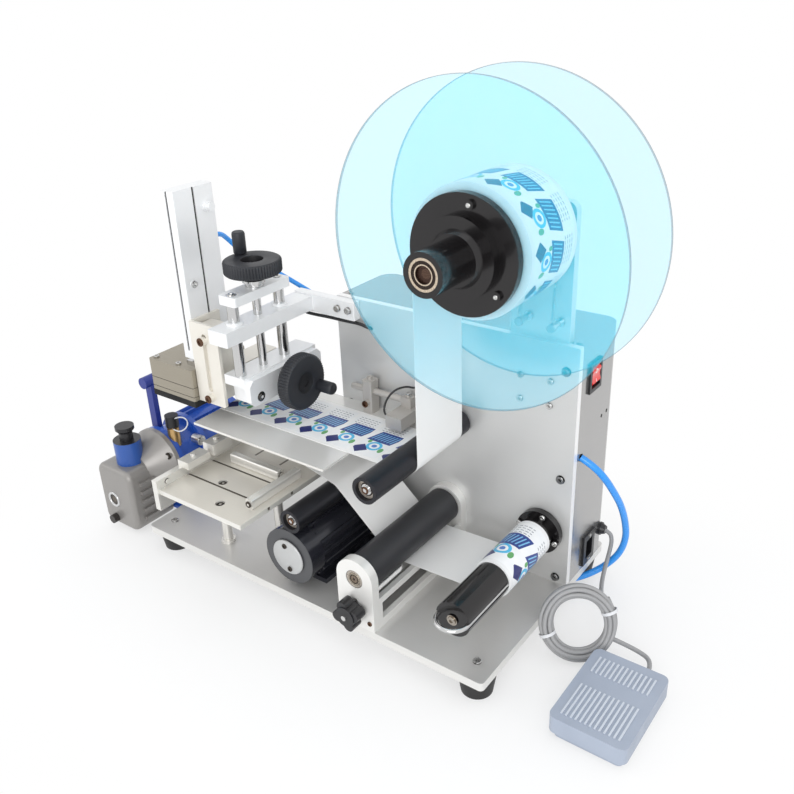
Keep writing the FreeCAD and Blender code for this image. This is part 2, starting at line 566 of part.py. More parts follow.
# Positioning table: grooved plate, upright rail, two posts and two stop bars.
table_run = "table_right - table_left"
table = block("table_slab", "table_left", "table_front", "table_top - table_thick", table_run,
              "table_back - table_front", "table_thick")
table = cut("table_cut", table, [
    block("table_groove_one", "table_left - 1", "table_front + 42", "table_top - 1.5", 112, 3, 3),
    block("table_groove_two", "table_left - 1", "table_front + 80", "table_top - 1.5", 112, 3, 3),
    rod("table_sink_one", "z", -105, -133, "table_top - 3", 5.5, 5),
    rod("table_sink_two", "z", -75, -166, "table_top - 3", 5.5, 5)])
table = join("table_full", [table, rod("table_screw_one", "z", -105, -133, "table_top - 4", 3.4, 2.6),
                            rod("table_screw_two", "z", -75, -166, "table_top - 4", 3.4, 2.6)])
piece("table_plate", table)
rail = [block("rail_plate", "table_left - 8", "table_front - 3", "table_top - 27", 8, 148, 39),
        block("rail_block_one", "table_left - 6", "table_front + 36", "table_top + 12", 18, 34, 9),
        block("rail_block_two", "table_left - 6", "table_front + 76", "table_top + 12", 18, 30, 14),
        rod("rail_stop_one", "z", "table_left + 2", "table_front + 53", "table_top + 20", 3, 4),
        rod("rail_stop_two", "z", "table_left + 2", "table_front + 90", "table_top + 25", 3, 4),
        rod("rail_screw_one", "x", "table_left - 2", "table_front + 12", "table_top + 6", 3, 4),
        rod("rail_screw_two", "x", "table_left - 2", "table_front + 132", "table_top + 6", 3, 4)]
for i, (x, y) in enumerate(((-140, -108), (-72, -82))):
    rail.append(rod("table_post%d" % i, "z", x, y, base_top, 6, "table_top - table_thick - foot_height - base_thick"))
    rail.append(rod("table_post_foot%d" % i, "z", x, y, base_top, 9, 4))
piece("table_rail", join("table_rail_full", rail))
piece("stop_bar_x", join("stop_bar_x_full", [
    bevel_edges("stop_x_bevel", block("stop_x_bar", -130, -96, "table_top", 78, 10, 12), 1, X),
    rod("stop_x_screw", "x", -53, -91, "table_top + 6", 3.4, 2.6)]))
piece("stop_bar_y", join("stop_bar_y_full", [
    bevel_edges("stop_y_bevel", block("stop_y_bar", -44, -156, "table_top", 10, 80, 12), 1, Y),
    rod("stop_y_screw", "y", -39, -157.6, "table_top + 6", 3.4, 2.6)]))

# Label head arm: a bar over the head and a leg on the panel, bored for posts and screw.
arm = join("arm_full", [
    block("arm_bar", -120, -112, "arm_bottom", 29, "panel_front + 112", "arm_thick"),
    block("arm_leg", -120, "panel_front - 12", "arm_bottom - 3", 92, 12, "arm_thick + 5")])
arm = bevel_edges("arm_bevel", arm, 1, Z)
posts_y = ("post_front", "post_back")
arm = cut("arm_bored", arm,
          [rod("arm_bore%d" % i, "z", "post_x", y, "arm_bottom - 1", "post_radius + running_gap", "arm_thick + 2")
           for i, y in enumerate(posts_y)]
          + [rod("arm_nut_bore", "z", "post_x", "screw_y", "arm_bottom - 1", "5 + running_gap", "arm_thick + 2"),
             rod("arm_screw_bore_one", "y", -52, "panel_front - 15", 318, 2.5, 20),
             rod("arm_screw_bore_two", "y", -36, "panel_front - 15", 318, 2.5, 20)])
bushes = []
for i, y in enumerate(posts_y):
    flange = rod("bush%d" % i, "z", "post_x", y, "arm_bottom + arm_thick", 9.5, 3)
    bushes.append(cut("bush_cut%d" % i, flange, [
        rod("bush_bore%d" % i, "z", "post_x", y, "arm_bottom", "post_radius + running_gap", 40)]))
piece("head_arm", join("head_arm_full", [arm] + bushes))

# Lift: top plate, two bright posts and the lower plate with the cross slide's body.
head_plate = cut("head_cap_bored", round_edges("head_cap_round", block(
    "head_cap", "post_x - 13", "post_front - 8", "cap_bottom", 26, "post_back - post_front + 16", 11), 3, Z),
    [rod("cap_post_bore%d" % i, "z", "post_x", y, "cap_bottom - 1", "post_radius", 13) for i, y in enumerate(posts_y)]
    + [rod("cap_screw_bore", "z", "post_x", "screw_y", "cap_bottom - 1", "5 + running_gap", 13)])
lower = join("lower_full", [
    block("lower_slab", -125, -92, "plate_top - plate_thick", 32, 122, "plate_thick"),
    block("slide_body", -125, -80, 226, 32, 96, "plate_top - plate_thick - 226 + 1"),
    bevel_edges("end_plate_bevel", block("end_plate", -93.5, -92, 229, 8.5, 122, "plate_top - 231"), 6, X,
                lambda p: True),
    rod("end_plate_screw", "x", -86, -76, 238, 4, 2.5)])
lower = cut("lower_cut", lower,
            [rod("lower_post_bore%d" % i, "z", "post_x", y, "plate_top - plate_thick - 1", "post_radius", 20)
             for i, y in enumerate(posts_y)]
            + [rod("lower_screw_bore", "z", "post_x", "screw_y", "plate_top - 9", "5 + running_gap", 20)]
            + [rod("slide_bore%d" % i, "x", -140, y, 238, "5 + running_gap", 45) for i, y in enumerate((-62, 2))]
            + [rod("slide_screw_bore", "x", -140, "cross_y", "cross_z", "4 + running_gap", 70)])
piece("lift_plates", join("lift_plates_pair", [head_plate, lower]))
piece("guide_posts", join("guide_posts_pair", [
    rod("guide_post%d" % i, "z", "post_x", y, "plate_top - plate_thick", "post_radius",
        "cap_bottom + 11 - plate_top + plate_thick") for i, y in enumerate(posts_y)]))
piece("lift_screw", join("lift_screw_full", [
    rod("lift_screw_bar", "z", "post_x", "screw_y", "plate_top - 9 + 0.2", 5, "cap_bottom - plate_top + 41"),
    rod("lift_screw_ring", "z", "post_x", "screw_y", "cap_bottom + 11", 11, 5),
    rod("lift_screw_ring_two", "z", "post_x", "screw_y", "cap_bottom + 16", 13.5, 2.9)]))


# Handwheels: a knurled rim with a dished face, a hub and a crank handle.
def handwheel(bore, dish_depth, crank_length):
    """A wheel on +Z with its back at the origin."""
    radius, thick = size("wheel_radius"), size("wheel_thick")
    rim = Part.makeCylinder(radius, thick)
    rim = rim.fuse(Part.makeCone(11, 14, 8, Vector(0, 0, -7)))
    rim = rim.cut(Part.makeCone(19, 23, dish_depth + 1, Vector(0, 0, thick - dish_depth)))
    notch = Part.makeCylinder(2.2, thick + 2, Vector(radius + 0.9, 0, -1))
    notches = []
    for i in range(16):
        turned = notch.copy()
        turned.rotate(Vector(), Z, i * 22.5)
        notches.append(turned)
    rim = rim.cut(Part.makeCompound(notches))
    crank_x = radius - 9.5
    handle = Part.makeCylinder(4, 8, Vector(crank_x, 0, thick - 4))
    handle = handle.fuse(Part.makeCylinder(7.5, crank_length - 3, Vector(crank_x, 0, thick + 2)))
    handle = handle.fuse(Part.makeCone(7.5, 5.5, 3, Vector(crank_x, 0, thick + crank_length - 1)))
    rim = rim.fuse(handle)
    if bore:
        rim = rim.cut(Part.makeCylinder(bore, 80, Vector(0, 0, -20)))
    return rim.removeSplitter()


piece("lift_handwheel", feature("lift_wheel", handwheel(5, 9, 24),
                                (size("post_x"), size("screw_y"), size("cap_bottom") + 26), Rotation(Z, 165)))
cross = handwheel(0, 3, 20)
cross = cross.fuse(Part.makeCylinder(4, 96, Vector(0, 0, -92)))
cross = cross.fuse(Part.makeCylinder(10, 8, Vector(0, 0, -13)))
piece("cross_handwheel", feature("cross_wheel", cross.removeSplitter(), (-72, size("cross_y"), size("cross_z")),
                                 Rotation(Y, 90) * Rotation(Z, 62)))

# Cross carriage: block with two guide rods, the slotted bracket on its front.
carriage = join("carriage_full", [
    block("carriage_tall", -170, -87, 222, 31, 26, 90),
    block("carriage_low", -170, -87, 222, 31, 97, 34),
])
carriage = bevel_edges("carriage_bevel", carriage, 1, Z)
carriage = cut("carriage_cut", carriage, [
    rod("carriage_nut", "x", -171, "cross_y", "cross_z", "4 + running_gap", 40)])
rods = [rod("carriage_rod%d" % i, "x", -150, y, 238, 5, 46) for i, y in enumerate((-62, 2))]
piece("cross_carriage", join("cross_carriage_full", [carriage] + rods))
bracket = join("slotted_full", [
    block("slotted_plate", -175.9, -91, 216, 45, 4, 102),
    block("slotted_leg", -175.9, -91, 268, 4, 45, 50)])
bracket = round_edges("slotted_round", bracket, 3, Y, lambda p: p.x > -140)
bracket = cut("slotted_cut", bracket, [
    rod("slotted_low", "y", -153, -95, 236, 3.6, 12), rod("slotted_high", "y", -153, -95, 302, 3.6, 12),
    block("slotted_mid", -156.6, -95, 236, 7.2, 12, 66)])
bracket_screws = []
for i, z in enumerate((298, 225)):
    head = rod("bracket_screw%d" % i, "y", -153, -97, z, 5, 6)
    bracket_screws.append(cut("bracket_screw_cut%d" % i, head, [
        rod("bracket_socket%d" % i, "y", -153, -98, z, 2.4, 4)]))
bracket_screws.append(rod("bracket_leg_screw", "x", -173, -62, 300, 3.6, 3))
piece("slotted_bracket", join("slotted_bracket_full", [bracket] + bracket_screws))

# Air cylinder: a long body with sensor slots, bored for the two piston rods.
column = block("column_body", "column_left", "column_front", "column_bottom", "column_right - column_left",
               "column_back - column_front", "column_top - column_bottom")
column = bevel_edges("column_bevel", column, 1.5, Z)
rods_y = (-73, -43)
column = cut("column_cut", column, [
    block("column_slot_side", "column_right - 2", -59.5, "column_bottom + 30", 4, 3, 200),
    block("column_slot_front", -187.5, "column_front - 2", "column_bottom + 10", 3, 4, 200)]
    + [rod("column_bore%d" % i, "z", -186, y, "column_bottom - 1", "4 + running_gap", 140)
       for i, y in enumerate(rods_y)])
column = join("column_full", [
    column,
    rod("column_port", "x", "column_right - 1", -40, 440, 5, 9),
    rod("column_port_nut", "x", "column_right - 1", -40, 440, 6.5, 4),
    rod("column_screw", "x", "column_right - 1", -76, 358, 4, 2.4)])
piece("air_cylinder", column)
chamber_bottom = "pad_bottom + pad_thick"
piece("piston_rods", join("piston_rods_full",
      [rod("piston_rod%d" % i, "z", -186, y, 261, 4, 90) for i, y in enumerate(rods_y)]
      + [block("rod_plate", -196, -86, 256, 19, 56, 6)]))

# Suction box: stacked plates with grooves between them, a fitting and a foam pad below.
stack_top = 256
stack = block("suction_stack", "box_left", "box_front", chamber_bottom, "box_right - box_left",
              "box_rear - box_front", "256 - pad_bottom - pad_thick")
stack = bevel_edges("suction_bevel", stack, 1.5, Z)
grooves = []
for i, z in enumerate((220, 232)):
    ring_out = block("joint_out%d" % i, "box_left - 1", "box_front - 1", z, "box_right - box_left + 2",
                     "box_rear - box_front + 2", 0.8)
    ring_in = block("joint_in%d" % i, "box_left + 0.7", "box_front + 0.7", z - 1, "box_right - box_left - 1.4",
                    "box_rear - box_front - 1.4", 3)
    grooves.append(cut("joint%d" % i, ring_out, [ring_in]))
stack = cut("suction_cut", stack, grooves)
piece("suction_box", join("suction_full", [
    stack, rod("suction_port", "y", -215, "box_rear - 1", 244, 5, 10),
    rod("suction_port_nut", "y", -215, "box_rear - 1", 244, 7, 5)]
    + [rod("suction_screw%d" % i, "z", x, y, stack_top - 1, 3.2, 2.5)
       for i, (x, y) in enumerate(((-246, -91), (-246, -15), (-206, -91), (-206, -15)))]))
pad = block("pad_sheet", "box_left", "box_front", "pad_bottom", "box_right - box_left", "box_rear - box_front",
            "pad_thick")
holes = [rod("pad_hole%d_%d" % (i, j), "z", "box_left + %g" % (11 + 18 * i), "box_front + %g" % (12 + 22 * j),
             "pad_bottom - 1", 2.5, 5) for i in range(4) for j in range(4)]
piece("foam_pad", cut("foam_pad_cut", pad, holes))

# Right end of the box: switch, inlet with its sockets, gland.
bezel = cut("bezel_ring", block("bezel_plate", "panel_right", 66, "panel_top - 60", 2.5, 28, 34),
            [block("bezel_hole", "panel_right - 20", 70, "panel_top - 55.5", 40, 20, 25)])
cup = cut("bezel_cup_cut", block("bezel_cup", "panel_right - 22", 68.2, "panel_top - 56.8", 22, 23.6, 27.6),
          [block("bezel_cup_hole", "panel_right - 18", 70, "panel_top - 55.5", 40, 20, 25)])
inlet = join("inlet_full", [block("inlet_flange", "panel_right", 79, 40, 3, 28, 40),
                            block("inlet_body", "panel_right - 20", 82.5, 44.5, 21, 21, 31)])
inlet = cut("inlet_cut", inlet, [block("inlet_socket", "panel_right - 14", 85, 48, 20, 16, 24)])
pins = [block("inlet_pin%d" % i, "panel_right - 16", y, z, 14, 2, 4)
        for i, (y, z) in enumerate(((88, 52), (96, 58), (88, 64)))]
piece("power_fittings", join("power_fittings_full", [bezel, cup, inlet] + pins))
rocker = cut("rocker_lens_cut", rod("rocker_drum", "y", "panel_right - 9", 70.2, "panel_top - 43", 14, 19.6),
             [block("rocker_low", "panel_right - 40", 60, "panel_top - 79", 40 - 13, 40, 80),
              block("rocker_top", "panel_right - 40", 60, "panel_top - 31.6", 80, 40, 20),
              block("rocker_bottom", "panel_right - 40", 60, "panel_top - 74.4", 80, 40, 20),
              rod("rocker_dish", "y", "panel_right + 21", 60, "panel_top - 43", 19, 40)])
piece("rocker", rocker)
gland = join("gland_full", [rod("gland_thread", "x", "panel_right - 6", 127, 66, 4.95, 10),
                            rod("gland_nut", "x", "panel_right", 127, 66, 8, 3),
                            taper("gland_dome", "x", "panel_right + 3", 127, 66, 7, 5, 5)])
piece("cable_gland", cut("gland_cut", gland, [rod("gland_bore", "x", "panel_right - 10", 127, 66, "cable_radius", 40)]))


# Hoses and cable: straight runs joined by tangent arcs.
def corded_path(points):
    """Wire of straight runs with an arc at each inner point, and the radii of the arcs."""
    points = [Vector(*p) for p in points]
    edges, radii = [], []
    start = points[0]
    for before, here, after in zip(points, points[1:], points[2:]):
        into, out = (here - before).normalize(), (after - here).normalize()
        half = into.getAngle(out) / 2
        radius = 0.45 * min((here - before).Length, (after - here).Length) / math.tan(half)
        reach = radius * math.tan(half)
        enter, leave = here - into * reach, here + out * reach
        inward = (out - into).normalize()
        middle = here + inward * (radius / math.cos(half) - radius)
        edges.append(Part.LineSegment(start, enter).toShape())
        edges.append(Part.Arc(enter, middle, leave).toShape())
        start = leave
        radii.append(round(radius, 1))
    edges.append(Part.LineSegment(start, points[-1]).toShape())
    return Part.Wire(edges), radii


def cord(name, points, radius):
    wire, radii = corded_path(points)
    start = wire.Edges[0]
    along = start.tangentAt(start.FirstParameter)
    ring = Part.Wire([Part.Circle(Vector(*points[0]), along, radius).toShape()])
    tube = wire.makePipeShell([ring], True, False)
    expected = math.pi * radius ** 2 * wire.Length
    print(name, "length", round(wire.Length), "radii", radii, "volume ratio", round(tube.Volume / expected, 3))
    return tube


hose_points = [(252, 60, 196), (266, 61, 190), (277, 69, 174), (283, 82, 152), (287, 97, 128), (289, 110, 100),
               (289, 119, 71), (282, 121, 44), (268, 113, 25), (252, 99, 14), (238, 83, 12), (226, 67, 13),
               (220.5, 58.8, 21), HOSE_END]
piece("air_hose", feature("blue_hose", cord("air_hose", hose_points, size("hose_radius"))))

# Coiled spare length of the foot cable, standing on the floor.
coil_axis = Vector(0.50, -0.764, 0.42).normalize()
coil_ring, coil_thick = 35, 9
coil_height = coil_ring * math.sqrt(1 - coil_axis.z ** 2) + coil_thick
piece("cable_coil", feature("coiled_cable", Part.makeTorus(coil_ring, coil_thick), (293, -12, coil_height),
                            Rotation(Z, coil_axis)))

cable_one = [(252, 127, 66), (265, 127, 66), (270, 125, 57), (271.5, 115.5, 45), (275, 96.5, 36), (281, 75, 32),
             (290, 53, 36), (300, 31, 47), (308, 8, 62)]
cable_two = [(322, 1, 26), (350, 16, 11), (372, 8, 9), (372, -18, 9)]
piece("foot_cable", join("foot_cable_pair", [
    feature("cable_to_coil", cord("cable_to_coil", cable_one, size("cable_radius"))),
    feature("cable_to_pedal", cord("cable_to_pedal", cable_two, size("cable_radius")))]))

# Foot pedal: a tray with two lugs and a pin, and a treadle that covers it and rocks on the pin.
left, front = "pedal_x - pedal_width / 2", "pedal_y - pedal_length / 2"
tray = round_edges("tray_round", block("tray", left + " + 4.5", front + " + 4.5", 0, "pedal_width - 9",
                                       "pedal_length - 9", 12), 6, Z)
tray = cut("tray_cut", tray, [block("tray_void", left + " + 7.5", front + " + 7.5", 3, "pedal_width - 15",
                                    "pedal_length - 15", 20)])
pin_y = "pedal_y + pedal_length / 2 - 20"
lug_x = (left + " + 9", "pedal_x + pedal_width / 2 - 15")
lugs = [block("tray_lug%d" % i, x, pin_y + " - 5", 2, 6, 10, 17) for i, x in enumerate(lug_x)]
boss = rod("cable_boss", "y", 372, "pedal_y + pedal_length / 2 - 8", 9, 6, 12)
boss = cut("cable_boss_cut", boss, [rod("cable_boss_bore", "y", 372, -50, 9, "cable_radius", 60)])
piece("pedal_base", join("pedal_base_full", [
    tray, boss, rod("pedal_pin", "x", left + " + 9", pin_y, 15, 2.5, "pedal_width - 18")] + lugs))
lid = round_edges("lid_round", block("lid", left, front, 7.5, "pedal_width", "pedal_length",
                                     "pedal_height - 1.5"), 8, Z)
hollow = round_edges("hollow_round", block("lid_hollow", left + " + 2.5", front + " + 2.5", 0, "pedal_width - 5",
                                           "pedal_length - 5", "pedal_height + 1"), 6, Z)
lid = cut("lid_shell", lid, [
    hollow, block("cable_notch", 364, "pedal_y + pedal_length / 2 - 5", 0, 16, 10, 17)])
ears = [block("ear%d" % i, x, pin_y + " - 5", 10.5, 5, 10, "pedal_height - 9")
        for i, x in enumerate((left + " + 16", "pedal_x + pedal_width / 2 - 21"))]
ribs = [block("tread%d_%d" % (i, j), "pedal_x + %g" % (4.9 * j - 30.5), front + " + %d" % y, "pedal_height + 5.5",
              2, length, 1.7) for i, (y, length) in enumerate(((9, 46), (76, 24))) for j in range(13)]
piece("pedal_treadle", cut("treadle_cut", join("treadle_full", [lid] + ears + ribs), [
    rod("treadle_bore", "x", left + " + 5", pin_y, 15, "2.5 + running_gap", "pedal_width - 10")]))
piece("pedal_spring", join("pedal_spring_full", [
    rod("spring_coil%d" % i, "z", "pedal_x", front + " + 38", 3 + 2.6 * i, 6, 1.4) for i in range(7)]
    + [rod("spring_core", "z", "pedal_x", front + " + 38", 3, 4.6, "pedal_height - 2.2")]))

# Vacuum pump: foot plate on rubber feet, finned motor, oil case, handle and fittings.
pump_parts = [block("pump_foot_plate", "pump_x - pump_radius", -74, 12, "2 * pump_radius", 136, 5),
              block("pump_saddle", "pump_x - 24", -60, 16, 48, 112, "pump_z - pump_radius - 16")]
pump_parts += [rod("pump_pad%d%d" % (i, j), "z", "pump_x + %d" % x, y, 0, 9, 12.5)
               for i, x in enumerate((-34, 34)) for j, y in enumerate((-62, 46))]
piece("pump_base", join("pump_base_full", pump_parts))
body_parts = [rod("pump_flange", "y", "pump_x", "case_back + 6", "pump_z", "pump_radius - 3", 8),
              rod("pump_cylinder", "y", "pump_x", -62, "pump_z", "pump_radius - 9", 40),
              rod("pump_motor_core", "y", "pump_x", -24, "pump_z", "pump_radius - 5", 74),
              rod("pump_fan_cover", "y", "pump_x", 48, "pump_z", "pump_radius - 1", 12),
              rod("pump_motor_ring", "y", "pump_x", -26, "pump_z", "pump_radius", 8),
              block("pump_motor_foot", "pump_x - 20", -56, "pump_z - pump_radius", 40, 100, 20)]
for i in range(15):
    fin = block("pump_fin%d" % i, 0, 0, 0, 2.4, 68, 7)
    fin.Placement = Placement(Vector(), Rotation(Y, i * 24))
    place(fin, "pump_x + (pump_radius - 7) * sin(%d) - 1.2 * cos(%d)" % (i * 24, i * 24), -19,
          "pump_z + (pump_radius - 7) * cos(%d) + 1.2 * sin(%d)" % (i * 24, i * 24))
    body_parts.append(fin)
vents = [rod("pump_vent%d" % i, "y", "pump_x + %d * cos(%d)" % (r, a), 56, "pump_z + %d * sin(%d)" % (r, a), 3, 6)
         for i, (r, a) in enumerate([(14, 60 * n) for n in range(6)] + [(28, 60 * n + 30) for n in range(6)])]
handle = join("carry_handle", [
    rod("handle_grip", "y", "pump_x - 23", -60, 186, 8, 103),
    block("handle_post", "pump_x - 29", -52, 100, 12, 8, 84),
    block("handle_rear_post", "pump_x - 29", 30, 110, 12, 8, 74)])
intake = rod("intake_base", "z", "pump_x + 24", -58, "pump_z + 22", 8, 27)
gas_screw = rod("gas_screw", "x", "pump_x + 30", -30, "pump_z + 21", 7, 14)
piece("pump_motor", cut("pump_motor_cut", join("pump_motor_full", body_parts),
                        vents + [handle, intake, gas_screw]))
case_left, case_width = "pump_x - 49", 68
case = round_edges("case_round", block("case_block", case_left, "case_front", 4, case_width,
                                       "case_back - case_front", "case_height - 4"), 13, Y)
doc.recompute()
case_nose = doc.addObject("Part::Fillet", "case_nose")
case_nose.Base = case
case_nose.Edges = [(n, 7, 7) for n, edge in enumerate(case.Shape.Edges, 1)
                   if all(abs(v.Y + ORIGIN.y - size("case_front")) < 0.01 for v in edge.Vertexes)]
cap_x, cap_y = "pump_x - 11", "case_front + 29"
filler = rod("filler_cap", "z", cap_x, cap_y, "case_height", 18, 33)
case_ribs = [block("case_rib%d" % i, case_left + " + %d" % (case_width - 1), "case_front + 14", 20 + 13 * i,
                   5, 42, 4) for i in range(5)]
case_full = join("case_full", [
    case_nose, taper("case_shoulder", "y", "pump_x", "case_back - 30", "pump_z", 18, "pump_radius - 2", 30),
    rod("case_flange", "y", "pump_x", "case_back", "pump_z", "pump_radius - 2", 6),
    rod("case_bolt", "y", "pump_x + 34", "case_back - 5", "pump_z + 18", 4.5, 8)] + case_ribs)
piece("pump_oil_case", cut("case_cut", case_full, [
    filler, rod("sight_seat", "y", "pump_x - 22", "case_front - 1", 45, 11, 4)]))
piece("pump_handle", handle)
piece("pump_fittings", join("pump_fittings_full", [
    filler,
    rod("filler_neck", "z", cap_x, cap_y, "case_height + 33", 9, 14),
    taper("filler_flare", "z", cap_x, cap_y, "case_height + 44", 9, 12.5, 4),
    rod("filler_knob", "z", cap_x, cap_y, "case_height + 48", 12.5, 5),
    rod("sight_glass", "y", "pump_x - 22", "case_front + 1", 45, 11, 2),
    rod("drain_plug", "y", "pump_x - 24", "case_front - 8", 16, 6, 8),
    intake,
    rod("intake_neck", "z", "pump_x + 24", -58, "pump_z + 48", 5, 4),
    rod("intake_cap", "z", "pump_x + 24", -58, "pump_z + 51", 9, 16),
    gas_screw]))

doc.recompute()
for obj in doc.Objects:
    faults = [word for word in obj.State if word in ("Invalid", "Error")]
    if faults:
        raise RuntimeError("%s: %s" % (obj.Label, faults))
for node, obj in pieces:
    if obj.Shape.isNull() or not obj.Shape.isValid():
        raise RuntimeError(node + ": the shape is not valid")
os.makedirs("parts", exist_ok=True)
for node, obj in pieces:
    obj.Shape.exportStep("parts/%s.step" % node)
print(len(pieces), "sub-parts written")
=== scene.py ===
import math

import bmesh
import bpy
from mathutils import Matrix, Vector


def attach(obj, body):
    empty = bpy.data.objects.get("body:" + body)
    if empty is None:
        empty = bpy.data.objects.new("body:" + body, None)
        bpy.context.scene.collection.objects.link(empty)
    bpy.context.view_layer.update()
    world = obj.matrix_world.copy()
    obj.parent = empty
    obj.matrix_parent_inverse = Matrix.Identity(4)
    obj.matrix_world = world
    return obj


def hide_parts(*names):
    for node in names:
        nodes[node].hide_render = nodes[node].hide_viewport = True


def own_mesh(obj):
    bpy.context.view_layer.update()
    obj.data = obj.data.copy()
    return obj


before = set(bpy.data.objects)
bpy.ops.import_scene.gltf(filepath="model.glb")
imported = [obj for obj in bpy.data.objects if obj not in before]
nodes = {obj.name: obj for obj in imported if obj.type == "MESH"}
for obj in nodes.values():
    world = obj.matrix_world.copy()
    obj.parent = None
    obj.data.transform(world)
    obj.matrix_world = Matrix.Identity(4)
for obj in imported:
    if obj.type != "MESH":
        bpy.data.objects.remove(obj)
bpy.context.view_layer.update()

ORIGIN = Vector((22, -22.5, 0))


def mm(x, y, z):
    """A point given in millimetres from the middle of the base plate, in the frame's metres."""
    return (Vector((x, y, z)) - ORIGIN) / 1000


# The view. A camera on a stand in front of the machine's right corner, looking a little down, with a
# normal lens. It has no shift.
camera_data = bpy.data.cameras.new("view")
camera_data.lens = 39.48
camera_data.sensor_width = 36
camera_data.clip_end = 20
camera = bpy.data.objects.new("view", camera_data)
bpy.context.scene.collection.objects.link(camera)
azimuth, elevation, roll = math.radians(37.163), math.radians(26.315), math.radians(-2.277)
right = Vector((math.cos(azimuth), math.sin(azimuth), 0))
ahead = Vector((-math.sin(azimuth) * math.cos(elevation), math.cos(azimuth) * math.cos(elevation),
                -math.sin(elevation)))
up = right.cross(ahead)
side = right * math.cos(roll) + up * math.sin(roll)
top = up * math.cos(roll) - right * math.sin(roll)
camera.matrix_world = Matrix.Translation(mm(583.54, -699.96, 675.92)) @ Matrix(
    (side, top, -ahead)).transposed().to_4x4()
bpy.context.scene.camera = camera


# Blue air hose. A soft polyurethane tube of 8 mm. It leaves the right end of the control box and its own
# stiffness holds it in one loop, down under the base plate's edge and up into the plate.
def tint(red, green, blue):
    """A colour as a screen shows it, 0 to 255, for a shader's socket."""
    return tuple((c / 255 / 12.92) if c < 10 else ((c / 255 + 0.055) / 1.055) ** 2.4 for c in (red, green, blue))


def shader(name, colour, rough, metal=0.0, **sockets):
    """A material with one principled shader; returns the material, its tree and that shader."""
    material = bpy.data.materials.new(name)
    material.use_nodes = True
    tree = material.node_tree
    principled = tree.nodes["Principled BSDF"]
    principled.inputs["Base Color"].default_value = (*colour, 1)
    principled.inputs["Roughness"].default_value = rough
    principled.inputs["Metallic"].default_value = metal
    for socket, value in sockets.items():
        principled.inputs[socket.replace("_", " ")].default_value = value
    return material, tree, principled


def noise(tree, scale, stretch=(1, 1, 1), detail=3.0):
    """Noise on Object coordinates; scale is in waves per metre."""
    coords = tree.nodes.new("ShaderNodeTexCoord")
    mapping = tree.nodes.new("ShaderNodeMapping")
    mapping.inputs["Scale"].default_value = stretch
    texture = tree.nodes.new("ShaderNodeTexNoise")
    texture.inputs["Scale"].default_value = scale
    texture.inputs["Detail"].default_value = detail
    tree.links.new(coords.outputs["Object"], mapping.inputs["Vector"])
    tree.links.new(mapping.outputs["Vector"], texture.inputs["Vector"])
    return texture.outputs["Fac"]


def spread(tree, value, low, high):
    """Noise taken to a range."""
    node = tree.nodes.new("ShaderNodeMapRange")
    node.inputs["From Min"].default_value = 0.3
    node.inputs["From Max"].default_value = 0.7
    node.inputs["To Min"].default_value = low
    node.inputs["To Max"].default_value = high
    tree.links.new(value, node.inputs["Value"])
    return node.outputs["Result"]


def blend_colours(tree, factor, first, second):
    """The first colour where the factor is 0 and the second where it is 1; either may be a socket."""
    node = tree.nodes.new("ShaderNodeMix")
    node.data_type = "RGBA"
    sockets = [socket for socket in node.inputs if socket.type == "RGBA"]
    for socket, colour in zip(sockets, (first, second)):
        if hasattr(colour, "is_linked"):
            tree.links.new(colour, socket)
        else:
            socket.default_value = (*colour, 1)
    tree.links.new(factor, node.inputs["Factor"])
    return next(socket for socket in node.outputs if socket.type == "RGBA")


def bump(tree, principled, height, strength, distance=0.0002):
    node = tree.nodes.new("ShaderNodeBump")
    node.inputs["Strength"].default_value = strength
    node.inputs["Distance"].default_value = distance
    tree.links.new(height, node.inputs["Height"])
    tree.links.new(node.outputs["Normal"], principled.inputs["Normal"])


def moulded(name, colour, rough, grain=1800, strength=0.15, metal=0.0, depth=0.88, **sockets):
    """Plastic, rubber or paint with a fine texture and a little variation."""
    material, tree, principled = shader(name, colour, rough, metal, **sockets)
    pits = noise(tree, grain, (1, 1, 1), 2)
    cloud = noise(tree, 25, (1, 1, 1), 3)
    tree.links.new(spread(tree, cloud, rough * 0.85, rough * 1.15), principled.inputs["Roughness"])
    tree.links.new(blend_colours(tree, cloud, [c * depth for c in colour], colour),
                   principled.inputs["Base Color"])
    bump(tree, principled, pits, strength)
    return material


def smooth_line(name, points, diameter, material):
    """A round cord: one open spline with the given points as its control points."""
    curve = bpy.data.curves.new(name, "CURVE")
    curve.dimensions = "3D"
    curve.bevel_depth = diameter / 2
    curve.bevel_resolution = 4
    curve.resolution_u = 8
    curve.use_fill_caps = True
    spline = curve.splines.new("NURBS")
    spline.points.add(len(points) - 1)
    for point, place in zip(spline.points, points):
        point.co = (*mm(*place), 1)
    spline.order_u = 3
    spline.use_endpoint_u = True
    obj = bpy.data.objects.new(name, curve)
    bpy.context.scene.collection.objects.link(obj)
    curve.materials.append(material)
    return obj


hose_blue = moulded("hose_blue", tint(44, 150, 240), 0.28, 900, 0.03, Coat_Weight=0.25)
hose_points = [(252, 60, 196), (266, 61, 190), (277, 69, 174), (283, 82, 152), (287, 97, 128), (289, 110, 100),
               (289, 119, 71), (282, 121, 44), (268, 113, 25), (252, 99, 14), (238, 83, 12), (226, 67, 13),
               (220.5, 58.8, 21), (220.5, 58.8, 46)]
hose = smooth_line("blue_air_hose", hose_points, 0.008, hose_blue)
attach(hose, "stand")
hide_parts("air_hose")

